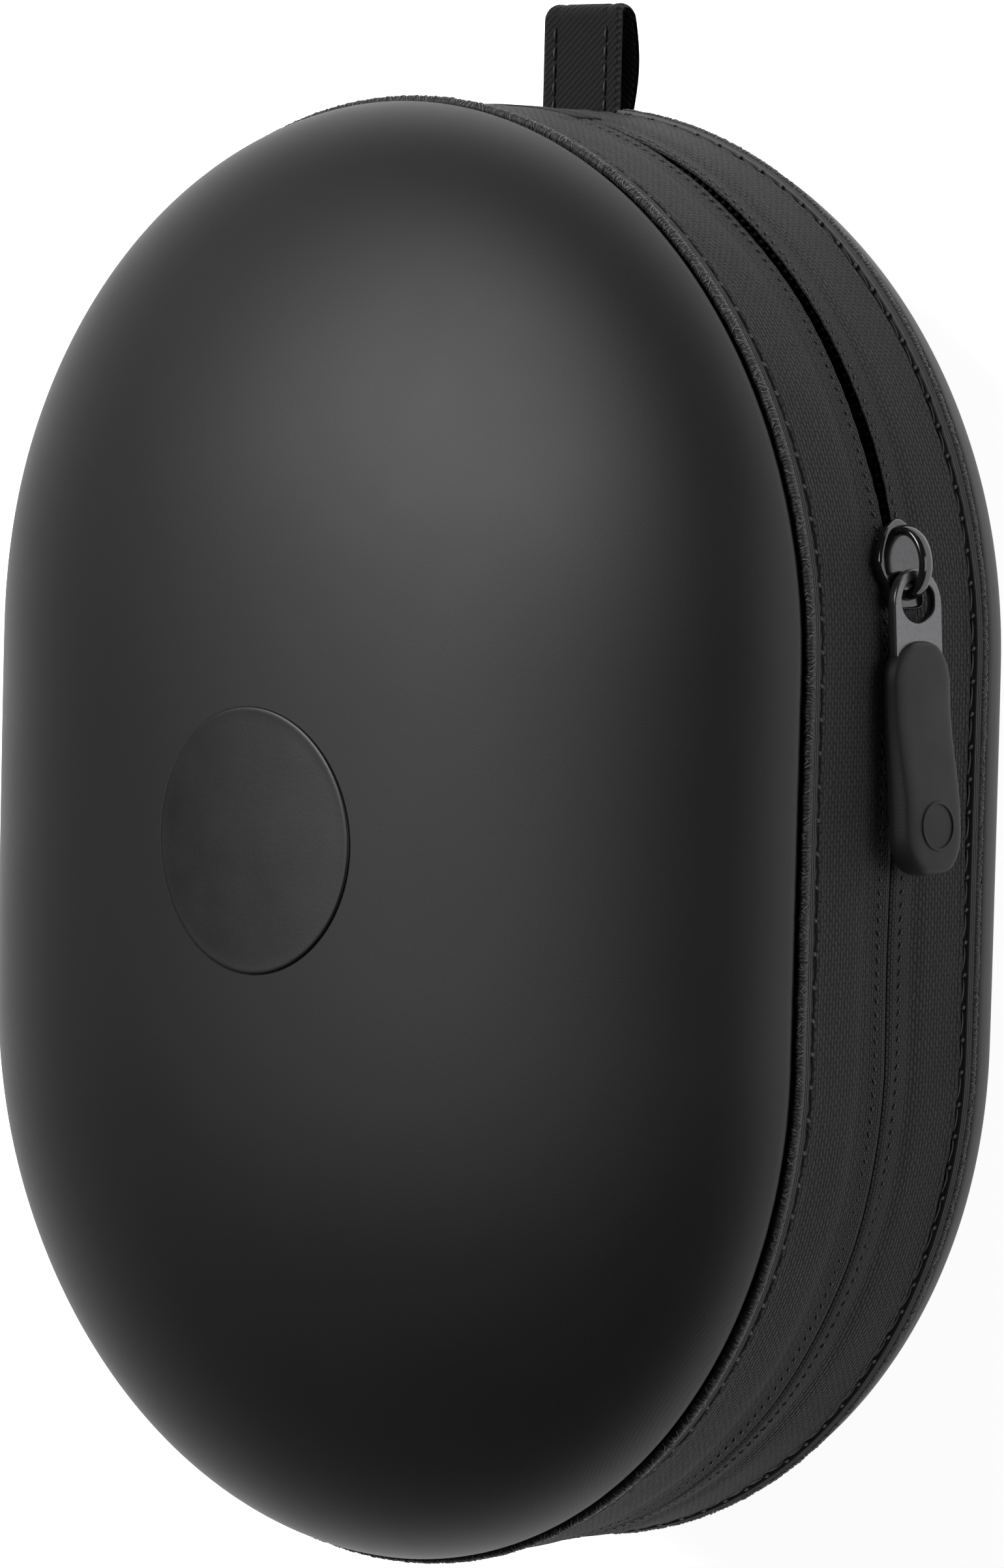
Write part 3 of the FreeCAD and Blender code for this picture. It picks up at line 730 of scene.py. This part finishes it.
def seam_stitches(side):
    """Dark stitches along the seam, with the knot where each dives in, and the finer row on the tape."""
    name = NAMES[side]
    skip = loop_gap if side == BASE else None
    row = stitch_row(name + "_seam_stitches", side, STITCH_LEVEL, RADIUS - 0.28, STITCH_PITCH, 3.7, 0.22,
                     skip)
    finish_piece(row, name, "band_canvas", (), "dark_thread")
    count = round(case.length / STITCH_PITCH)
    tubes = []
    for k in range(count):
        at = (k + 0.5) * case.length / count
        if skip and skip((at + case.length / 2) % case.length - case.length / 2):
            continue
        share = np.linspace(-1, 1, 5)
        x, y, nx, ny = case.place(at + 0.25 * share, RADIUS - 0.05 - 0.3 * share ** 2)
        z = flip(side, STITCH_LEVEL - 0.1 + 0.5 * share)
        normal = np.stack([nx, ny, 0 * nx], -1)
        radius = 0.3 * np.sqrt(1.02 - share ** 2)[:, None] + 0.02
        tubes.append(tube(np.stack([x, y, z], -1), normal, radius[:, 0], 6))
    finish_piece(tidy(gather(name + "_seam_knots", tubes)), name, "band_canvas", (), "dark_thread")

    def no_zip(s):
        return abs(abs(s) - HINGE_AT) < HINGE_HALF and s > 0

    row = stitch_row(name + "_tape_stitches", side, 2.3, RADIUS - 0.22, 1.8, 0.85, 0.14, no_zip)
    finish_piece(row, name, "band_canvas", (), "tape_thread")


def inner_cloths(side):
    """Board's lining with its edge turned over, and the rounded tape over the seam inside."""
    name = NAMES[side]
    s = case.stations(2.0)
    r = np.array([73.9, 71.9, 71.74, 71.66, 71.62, 71.66, 71.74, 71.8, 72.4, 72.4, 73.9])
    z = np.array([5.55, 5.55, 5.8, 7.5, 10, 12.5, 15, BAND_TOP, BAND_TOP, 5.95, 5.95])
    obj = tidy(carried(name + "_band_lining_cloth", case, s, r, flip(side, z)))
    finish_piece(obj, name, "lining", [name + "_band_lining"])
    turn = np.linspace(math.pi / 2, 3 * math.pi / 2, 13)
    middle = (BAND_TOP + RIM) / 2
    half = (RIM - BAND_TOP) / 2
    r = np.concatenate([[73.7], 70.4 + 1.15 * np.cos(turn), [73.7]])
    z = np.concatenate([[middle + half], middle + half * np.sin(turn), [middle - half]])
    obj = tidy(carried(name + "_binding_tape", case, case.stations(1.5), r, flip(side, z)))
    finish_piece(obj, name, "binding", [name + "_seam_binding"])
    count = round(case.length / 3.6)
    tubes = []
    for k in range(count):
        at = k * case.length / count + np.linspace(-1.3, 1.3, 6)
        x, y, nx, ny = case.place(at, 71.5)
        rise = RIM - 0.05 + 0.22 * np.cos(np.linspace(-1.5, 1.5, 6))
        path = np.stack([x, y, flip(side, rise)], -1)
        tubes.append(tube(path, np.stack([nx, ny, 0 * nx], -1), 0.17, 5))
    # These stitches take the lighter thread grey, which is a painted highlight for thread glints.
    finish_piece(tidy(gather(name + "_binding_stitches", tubes)), name, "binding", (), "thread")


def zip_teeth(side):
    """Coil: one hooked turn for each tooth, on a cord along the tape's inner edge."""
    name = NAMES[side]
    pitch = 1.5
    count = round(case.length / pitch)
    tubes = []
    for k in range(count):
        middle = (k + 0.5 * (side > 0)) * case.length / count
        wrapped = (middle + case.length / 2) % case.length - case.length / 2
        if abs(wrapped - HINGE_AT) < HINGE_HALF + 0.6:
            continue
        tip = 0.2 + max(0.0, float(slit_half(np.array([wrapped]))[0]) + 0.25)
        r = np.array([73.65, 73.75, 73.6, 73.0, 72.4, 72.3, 72.4])
        z = np.array([3.1, 1.8, tip + 0.35, tip + 0.2, tip + 0.4, 1.9, 3.1])
        s = wrapped + np.array([0, 0.1, 0.2, 0.3, 0.4, 0.55, 0.75])
        x, y, nx, ny = case.place(s, r)
        normal = np.stack([0 * nx, 0 * ny, 1 + 0 * nx], -1) + np.stack([nx, ny, 0 * nx], -1) * 0.3
        tubes.append(tube(np.stack([x, y, flip(side, z)], -1), normal, 0.34, 5))
    start = HINGE_AT + HINGE_HALF + 0.6
    end = HINGE_AT - HINGE_HALF - 0.6 + case.length
    s = np.linspace(start, end, 400)
    x, y, nx, ny = case.place(s, 73.0)
    tubes.append(tube(np.stack([x, y, 0 * x + flip(side, 2.8)], -1), np.stack([nx, ny, 0 * nx], -1), 0.5, 6))
    obj = tidy(gather(name + "_zip_teeth", tubes))
    return finish_piece(obj, name, "zip_coil", [name + "_zip_coil"])


for side in (LID, BASE):
    band_cloth(side)
    edge_strip(side)
    overlock(side)
    overlock_loops(side)
    seam_stitches(side)
    inner_cloths(side)
    zip_teeth(side)


def bending_cloth(name, half_width, reach, outer_r, inner_r, nodes):
    """Woven strip across the fold."""
    s = np.linspace(HINGE_AT - half_width, HINGE_AT + half_width, 25)
    level = np.linspace(-reach, reach, 31)
    outer = np.full(31, outer_r)
    inner = np.full(31, inner_r) + 0.06 * np.cos(level * 2.2)
    r = np.concatenate([outer, inner[::-1]])
    z = ZIP_PLANE + np.concatenate([level, level[::-1]])
    obj = carried(name, case, s, r, z, False)
    fill_ends(obj)
    obj.data.materials.append(MATERIALS["hinge_fabric"])
    if nodes:
        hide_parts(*nodes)
    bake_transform(obj)


bending_cloth("hinge_cloth", 14.2, 5.9, 73.95, 72.5, ["base_hinge_panel", "lid_hinge_panel"])
bending_cloth("hinge_fold", 17.4, 2.4, RADIUS + 0.12, RADIUS - 0.55, [])


# ---- hang loop: a folded strap, bellied out at the back ----

LOOP_HALF = high("hang_loop").x
LOOP_CREST = high("hang_loop").y + 1.2           # the strap stands a little proud of its solid
LOOP_FRONT = high("hang_loop").z
LOOP_BACK = low("hang_loop").z
PLY = 1.3


def loop_path():
    """Middle line of the strap in the YZ plane, and how far along it each point lies."""
    fold = (LOOP_FRONT - LOOP_BACK) / 2
    middle = (LOOP_FRONT + LOOP_BACK) / 2
    reach = fold - PLY / 2
    shoulder = LOOP_CREST - fold
    root = low("hang_loop").y
    front = [(y, middle + reach) for y in np.linspace(root, shoulder, 24, endpoint=False)]
    bend = [(shoulder + reach * math.sin(a), middle + reach * math.cos(a))
            for a in np.linspace(0, math.pi, 14)]
    back_root = HINGE.y
    back = [(y, middle - reach) for y in np.linspace(shoulder, back_root, 16)[1:]]
    path = np.array(front + bend + back)
    belly = np.zeros(len(path))
    share = np.linspace(0, 1, 16)[1:]
    belly[-15:] = -0.9 * np.sin(math.pi * share)
    path[:, 1] += belly
    return path


def loop_corner(y):
    """How much the strap narrows towards its rounded upper corners."""
    over = np.clip(y - (LOOP_CREST - 2.6), 0, 2.6)
    return 2.6 - np.sqrt(np.maximum(0, 2.6 ** 2 - over ** 2))


def hang_loop():
    path = loop_path()
    tangent = np.gradient(path, axis=0)
    tangent /= np.linalg.norm(tangent, axis=1, keepdims=True)
    normal = np.stack([-tangent[:, 1], tangent[:, 0]], -1)
    length = np.concatenate([[0], np.cumsum(np.linalg.norm(np.diff(path, axis=0), axis=1))])
    across = np.linspace(-1, 1, 33)
    edge = np.sqrt(np.clip(1 - np.abs(across) ** 14, 0, 1))
    hem = 0.1 * bell(np.abs(across), 0.9, 0.06) - 0.3 * bell(np.abs(across), 0.655, 0.035)
    top = PLY / 2 * edge - 0.12 + hem
    bottom = -PLY / 2 * edge + 0.05
    section_x = np.concatenate([across, across[::-1]])
    section_n = np.concatenate([top, bottom[::-1]])
    half = (LOOP_HALF - 0.7 * loop_corner(path[:, 0]))[:, None]
    x = half * section_x[None, :]
    y = path[:, :1] + normal[:, :1] * section_n[None, :]
    z = path[:, 1:] + normal[:, 1:] * section_n[None, :]
    points = np.stack([x, y, z], -1)
    obj = new_object("hang_loop_strap", points.reshape(-1, 3) * MM, grid_faces(*x.shape, False, True))
    mark(obj, np.stack([x, np.broadcast_to(length[:, None], x.shape), 0 * x], -1).reshape(-1, 3))
    close_ends(obj, "base", "webbing", ["hang_loop"])
    tubes = []
    for sign in (-1, 1):
        for y0 in np.arange(HINGE.y + 0.6, LOOP_CREST - 3.0, 2.5):
            share = np.linspace(-0.5, 0.5, 6)
            rise = LOOP_FRONT - 0.02 - 0.35 * (2 * np.abs(share)) ** 3
            line = np.stack([0 * share + sign * 4.85, y0 + 2.1 * share, rise], -1)
            tubes.append(tube(line, np.tile([0.0, 0.0, 1.0], (6, 1)), 0.19, 6))
    finish_piece(tidy(gather("hang_loop_stitches", tubes)), "base", "webbing", (), "dark_thread")


hang_loop()


# ---- badge, net pocket ----

def badge():
    """Plain disc on the crown with a soft raised rim."""
    radius = high("front_badge").x
    share = np.concatenate([np.linspace(0.0, 0.93, 20), [0.95, 0.97, 0.985, 0.995, 1.0, 1.0]])
    lift = np.concatenate([np.full(20, 0.36), [0.37, 0.38, 0.38, 0.34, 0.25, -0.2]])
    turn = np.linspace(0, 2 * math.pi, 160, endpoint=False)
    r = share[:, None] * radius
    x = r * np.cos(turn)
    y = r * np.sin(turn)
    reach = np.hypot(x, np.clip(np.abs(y) - STRAIGHT, 0, None))
    z = flip(LID, SEAM + RISE * np.sqrt(1 - (reach / RADIUS) ** 2)) + lift[:, None]
    points = np.stack([x, y, z], -1)
    obj = new_object("badge_disc", points.reshape(-1, 3) * MM, grid_faces(*x.shape, False, True))
    tidy(obj)
    return close_ends(obj, "lid", "badge", ["front_badge"])


badge()

NET_LEVEL = low("mesh_pocket").z
NET_RADIUS = high("mesh_pocket").x - 0.4
NET_PITCH = 2.1


def net_span(slope):
    """Ends of each strand that runs at a slope, inside the hinge half of the lid's hollow."""
    direction = np.array([math.cos(slope), math.sin(slope)])
    across = np.array([-direction[1], direction[0]])
    steps = np.arange(-160, 160, 0.5)
    for offset in np.arange(-160, 160, NET_PITCH):
        line = offset * across + steps[:, None] * direction
        reach = np.hypot(line[:, 0], np.clip(line[:, 1] - STRAIGHT, 0, None))
        inside = (line[:, 1] > 0.5) & (reach < NET_RADIUS)
        if inside.sum() > 6:
            yield line[inside]


def net():
    """Open diamond net of real strands, stretched flat, with its hem and tape."""
    tubes = []
    for order, slope in enumerate((math.radians(56), math.radians(-56))):
        for line in net_span(slope):
            count = max(3, round(len(line) * 0.5 / NET_PITCH))
            pick = line[np.linspace(0, len(line) - 1, count).astype(int)]
            wave = 0.16 * np.sin(np.arange(count) * math.pi + order * math.pi)
            path = np.column_stack([pick, NET_LEVEL + 0.3 + wave])
            tubes.append(tube(path, np.tile([0.0, 0.0, 1.0], (count, 1)), 0.26, 5))
    strands = tidy(gather("net_strands", tubes), 1e-7)
    finish_piece(strands, "lid", "net", ["mesh_pocket"])
    low_corner, high_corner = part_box("mesh_pocket_elastic")
    count = 181
    x = np.linspace(low_corner.x / MM + 0.3, high_corner.x / MM - 0.3, count)
    turn = np.linspace(0, 2 * math.pi, 40, endpoint=False)
    pleat = 1 + 0.1 * np.sin(x * 2 * math.pi / 1.7)[:, None]
    y = (low_corner.y + high_corner.y) / 2 / MM + 3.95 * np.sign(np.cos(turn)) * np.abs(np.cos(turn)) ** 0.35
    z = ((low_corner.z + high_corner.z) / 2 / MM
         + 0.72 * pleat * np.sign(np.sin(turn)) * np.abs(np.sin(turn)) ** 0.6)
    y = np.broadcast_to(y, z.shape)
    grid_x = np.broadcast_to(x[:, None], z.shape)
    points = np.stack([grid_x, y, z], -1)
    hem = new_object("net_hem_elastic", points.reshape(-1, 3) * MM, grid_faces(*z.shape, False, True))
    mark(hem, points.reshape(-1, 3))
    close_ends(hem, "lid", "elastic", ["mesh_pocket_elastic"])
    start = STRAIGHT - 18.0
    s = np.linspace(start, HINGE_AT * 2 - start, 220)
    turn = np.linspace(0, 2 * math.pi, 14, endpoint=False)
    middle = flip(LID, NET_LEVEL - ZIP_PLANE - 1.0)
    r = NET_RADIUS - 0.75 + 1.0 * np.cos(turn)
    z = middle + 0.92 * np.sin(turn)
    tape = carried("net_tape", case, s, r, z, False)
    close_ends(tape, "lid", "binding", ["mesh_pocket_binding"])


net()


# ---- slider and pull ----

def outline_slab(name, outline, low_level, high_level, place, bevel, segments=4, holes=()):
    """Solid from a closed outline in (t, level), thick along u, with its rims rounded."""
    work = bmesh.new()
    rings = []
    for level in (low_level, high_level):
        loops = []
        for loop in (outline, *holes):
            loops.append([work.verts.new(place(level, t, w)) for t, w in loop])
        rings.append(loops)
    rims = []
    for part in range(len(rings[0])):
        bottom, top = rings[0][part], rings[1][part]
        size = len(bottom)
        for k in range(size):
            n = (k + 1) % size
            work.faces.new((bottom[k], bottom[n], top[n], top[k]))
        for loop in (bottom, top):
            rims.append([work.edges.get((loop[k], loop[(k + 1) % size])) for k in range(size)])
    for level in (0, 1):
        edges = [edge for k in range(level, len(rims), 2) for edge in rims[k]]
        bmesh.ops.triangle_fill(work, use_beauty=True, use_dissolve=False, edges=edges)
    bmesh.ops.recalc_face_normals(work, faces=work.faces)
    every = [edge for rim in rims for edge in rim]
    bmesh.ops.bevel(work, geom=every, offset=bevel * MM, segments=segments, affect="EDGES", profile=0.5)
    mesh = bpy.data.meshes.new(name)
    work.to_mesh(mesh)
    work.free()
    mesh.shade_smooth()
    obj = bpy.data.objects.new(name, mesh)
    bpy.context.scene.collection.objects.link(obj)
    sharp = obj.modifiers.new("weighted", "WEIGHTED_NORMAL")
    sharp.keep_sharp = False
    return obj


def at_slider(u, t, level):
    """Point outside the band by u, along the zip by t and above its plane by level."""
    c, s = math.cos(SLIDER_ANGLE), math.sin(SLIDER_ANGLE)
    x = (RADIUS + u) * c - t * s
    y = STRAIGHT + (RADIUS + u) * s + t * c
    return Vector((x, y, ZIP_PLANE + level)) * MM


def spline(points, per=8):
    """Smooth closed outline through a few points."""
    points = [Vector(p) for p in points]
    size = len(points)
    out = []
    for k in range(size):
        a, b, c, d = (points[(k + j - 1) % size] for j in range(4))
        for j in range(per):
            f = j / per
            out.append(0.5 * ((2 * b) + (c - a) * f + (2 * a - 5 * b + 4 * c - d) * f ** 2
                              + (3 * b - a - 3 * c + d) * f ** 3))
    return [(p.x, p.y) for p in out]


SHIELD = [(6.2, 0.0), (5.6, 1.5), (3.9, 3.35), (0.6, 4.85), (-1.5, 4.45), (-3.1, 3.55), (-5.6, 2.95)]
SHIELD_OUTLINE = spline(SHIELD + [(-5.95, 0.0)] + [(t, -w) for t, w in SHIELD[:0:-1]])


def slider():
    shell = outline_slab("slider_top_plate", SHIELD_OUTLINE, 0.45, 1.88, at_slider, 0.5)
    finish_piece(shell, "slider", "slider_metal", ["slider_body"])
    low_u = -5.0
    under = outline_slab("slider_inner_plate", SHIELD_OUTLINE, low_u, low_u + 1.25, at_slider, 0.35)
    finish_piece(under, "slider", "slider_metal", ["slider_body"])
    neck_outline = [(1.0, -0.7), (5.0, -0.45), (5.0, 0.45), (1.0, 0.7)]
    neck = outline_slab("slider_neck", neck_outline, low_u + 0.9, 0.9, at_slider, 0.2)
    finish_piece(neck, "slider", "slider_metal", ["slider_body"])
    middle = 0.2
    span = 5.1
    rise = 1.9 + 4.35
    share = np.linspace(-1, 1, 33)
    t = middle + (span - 0.75) * np.sin(share * math.pi / 2) * (1 - 0.04 * np.cos(share * math.pi / 2))
    u = 1.6 + (rise - 1.6 - 0.75) * np.cos(share * math.pi / 2) ** 0.8
    path = np.array([tuple(at_slider(a, b, 0)) for a, b in zip(u, t)]) / MM
    points, faces = tube(path, np.tile([0.0, 0.0, 1.0], (33, 1)), 0.75, 12, 1.5)
    bail = tidy(gather("slider_bridge", [(points, faces)]))
    finish_piece(bail, "slider", "slider_metal", ["slider_bail"])


slider()


def at_pull(u, down, level):
    """Point on the pull, `down` its length from the bar, u outward."""
    lean = math.radians(4)
    x = u * math.cos(lean) + down * math.sin(lean)
    y = u * math.sin(lean) - down * math.cos(lean)
    return (PIVOT + Vector((x, y, level))) * MM


def half_round(top, bottom, half, corner, count=20):
    """Outline of a plate with a round upper end and corners rounded below."""
    points = [(top + half - half * math.sin(a), half * math.cos(a)) for a in np.linspace(0, math.pi, count)]
    turn = np.linspace(0, math.pi / 2, 8)
    points += [(bottom - corner + corner * math.sin(a), -half + corner - corner * math.cos(a))
               for a in turn]
    points += [(bottom - corner + corner * math.cos(a), half - corner + corner * math.sin(a))
               for a in turn]
    return points


EYE_HALF = 4.8
GRIP_HALF = 5.8
GRIP_TOP = 8.75
GRIP_LENGTH = 31.2
GRIP_FACE = 1.6                                     # middle plane to either face, above the bulge
GRIP_BULGE = 1.4
DIMPLE_RADIUS = 3.1
DIMPLE_FROM_END = 6.6


def pull():
    eye_hole = [(3.6 - 2.85 * math.cos(a), 3.35 * math.sin(a)) for a in np.linspace(0, 2 * math.pi, 40)[:-1]]
    outline = half_round(-0.75, GRIP_TOP + 2.5, EYE_HALF, 0.6)
    eye = outline_slab("pull_eye", outline, -0.72, 0.72, at_pull, 0.35, 3, [eye_hole])
    finish_piece(eye, "puller", "eye_metal", ["puller_eye_plate"])
    rows, sides = 64, 40
    down = GRIP_TOP + GRIP_LENGTH * (1 - np.cos(np.linspace(0, math.pi, rows))) / 2
    far = down - GRIP_TOP
    upper = np.clip(1 - far / GRIP_HALF, 0, 1)
    lower = np.clip(1 - (GRIP_LENGTH - far) / GRIP_HALF, 0, 1)
    half = GRIP_HALF * np.sqrt(np.maximum(0.0004, 1 - np.maximum(upper, lower) ** 2.2))
    bulge = GRIP_BULGE * smooth((far - 9) / 14)
    near_end = np.clip(1 - far / 0.9, 0, 1)
    far_end = np.clip(1 - (GRIP_LENGTH - far) / 1.1, 0, 1)
    ends = np.sqrt(np.clip(1 - np.maximum(near_end, far_end) ** 2, 0.02, 1))
    turn = np.linspace(0, 2 * math.pi, sides, endpoint=False)
    cx = np.sign(np.cos(turn)) * np.abs(np.cos(turn)) ** 0.32
    sx = np.sign(np.sin(turn)) * np.abs(np.sin(turn)) ** 0.6
    front = (GRIP_FACE + bulge) * ends
    back = -GRIP_FACE * ends
    u = (front + back)[:, None] / 2 + (front - back)[:, None] / 2 * sx[None, :]
    w = half[:, None] * cx[None, :]
    seam = 0.05 * bell(sx, 0.0, 0.05)
    w = w * (1 + seam[None, :])
    verts = [tuple(at_pull(u[i, j], down[i], w[i, j])) for i in range(rows) for j in range(sides)]
    grip = new_object("pull_grip", verts, grid_faces(rows, sides, False, True))
    tidy(grip, 1e-7)
    close_ends(grip, "puller", "grip_rubber", ["puller_grip"])
    middle = GRIP_TOP + GRIP_LENGTH - DIMPLE_FROM_END
    face = GRIP_FACE + GRIP_BULGE
    ring_path = [at_pull(face, middle + DIMPLE_RADIUS * math.cos(a), DIMPLE_RADIUS * math.sin(a)) / MM
                 for a in np.linspace(0, 2 * math.pi, 48)[:-1]]
    ring_path = np.array([tuple(p) for p in ring_path])
    across = np.tile([1.0, 0.0, 0.0], (len(ring_path), 1))
    points, faces = tube(ring_path, across, 0.22, 8, closed=True)
    ring = tidy(gather("pull_dimple_rim", [(points, faces)]))
    finish_piece(ring, "puller", "grip_rubber", ())


pull()

for node, obj in frame["nodes"].items():
    for k, part_slot in enumerate(obj.material_slots):
        name = (part_slot.material.name if part_slot.material else "").split(".")[0]
        look = next((key for key in MATERIALS if name.endswith(key)), None)
        if look is None:
            look = "foam" if "foam" in node else "stiffener"
        part_slot.material = MATERIALS[look]


# ---- floor, lights and camera ----

def floor():
    mesh = bpy.data.meshes.new("floor")
    half = 30.0
    corners = [(-half, -half, 0), (half, -half, 0), (half, half, 0), (-half, half, 0)]
    mesh.from_pydata(corners, [], [(0, 1, 2, 3)])
    obj = bpy.data.objects.new("floor", mesh)
    bpy.context.scene.collection.objects.link(obj)
    m = Nodes("floor_white", (0.9, 0.9, 0.9), 0.9, Specular_IOR_Level=0.1)
    rays = m.node("ShaderNodeLightPath").outputs
    seen = m.maths("MAXIMUM", rays["Is Camera Ray"], m.maths("MAXIMUM", rays["Is Glossy Ray"],
                                                            rays["Is Transmission Ray"]))
    m.shader.inputs["Emission Color"].default_value = (1, 1, 1, 1)
    m.link(m.spread(seen, 0.0, 0.9), m.shader.inputs["Emission Strength"])
    m.link(m.spread(seen, 0.12, 0.9), m.shader.inputs["Base Color"])
    mesh.materials.append(m.material)


def area_light(name, place, aim, size, power):
    light = bpy.data.lights.new(name, "AREA")
    light.shape = "RECTANGLE"
    light.size, light.size_y = size
    light.energy = power
    obj = bpy.data.objects.new(name, light)
    bpy.context.scene.collection.objects.link(obj)
    obj.location = Vector(place)
    obj.rotation_euler = (Vector(aim) - Vector(place)).to_track_quat("-Z", "Y").to_euler()


floor()
centre = Vector((0, 0, ZIP_PLANE * MM))
area_light("key", (-0.33, 0.44, 1.08), (0.01, 0.05, 0.08), (0.85, 0.5), 17)
area_light("side", (1.25, 0.12, 0.06), (0.05, 0, 0.045), (0.6, 1.2), 5)
area_light("top", (0.1, 1.4, 0.35), (0, 0.05, 0.045), (0.9, 0.4), 0.6)

world = bpy.data.worlds.new("studio")
world.use_nodes = True
world.node_tree.nodes["Background"].inputs["Color"].default_value = (1, 1, 1, 1)
world.node_tree.nodes["Background"].inputs["Strength"].default_value = 0.04
bpy.context.scene.world = world

VIEW_YAW = math.radians(43.39)
VIEW_PITCH = math.radians(4.17)
VIEW_ROLL = math.radians(1.34)
VIEW_DISTANCE = 0.913
FOCAL_SHARE = 9948 / 2405                           # focal length over the frame's height


def camera():
    back = Vector((math.sin(VIEW_YAW) * math.cos(VIEW_PITCH), math.sin(VIEW_PITCH),
                   math.cos(VIEW_YAW) * math.cos(VIEW_PITCH)))
    right = Vector((math.cos(VIEW_YAW), 0, -math.sin(VIEW_YAW)))
    up = back.cross(right)
    right, up = (math.cos(VIEW_ROLL) * right + math.sin(VIEW_ROLL) * up,
                 math.cos(VIEW_ROLL) * up - math.sin(VIEW_ROLL) * right)
    data = bpy.data.cameras.new("view")
    data.sensor_fit = "VERTICAL"
    data.sensor_height = 36
    data.lens = 36 * FOCAL_SHARE
    data.shift_x = 0.0125
    data.shift_y = 0.028
    data.clip_start = 0.05
    data.clip_end = 60
    obj = bpy.data.objects.new("view", data)
    bpy.context.scene.collection.objects.link(obj)
    place = centre + back * VIEW_DISTANCE
    obj.matrix_world = Matrix((
        (right.x, up.x, back.x, place.x),
        (right.y, up.y, back.y, place.y),
        (right.z, up.z, back.z, place.z),
        (0, 0, 0, 1),
    ))
    bpy.context.scene.camera = obj


camera()
bpy.context.scene.view_settings.view_transform = "Standard"

bpy.context.view_layer.update()
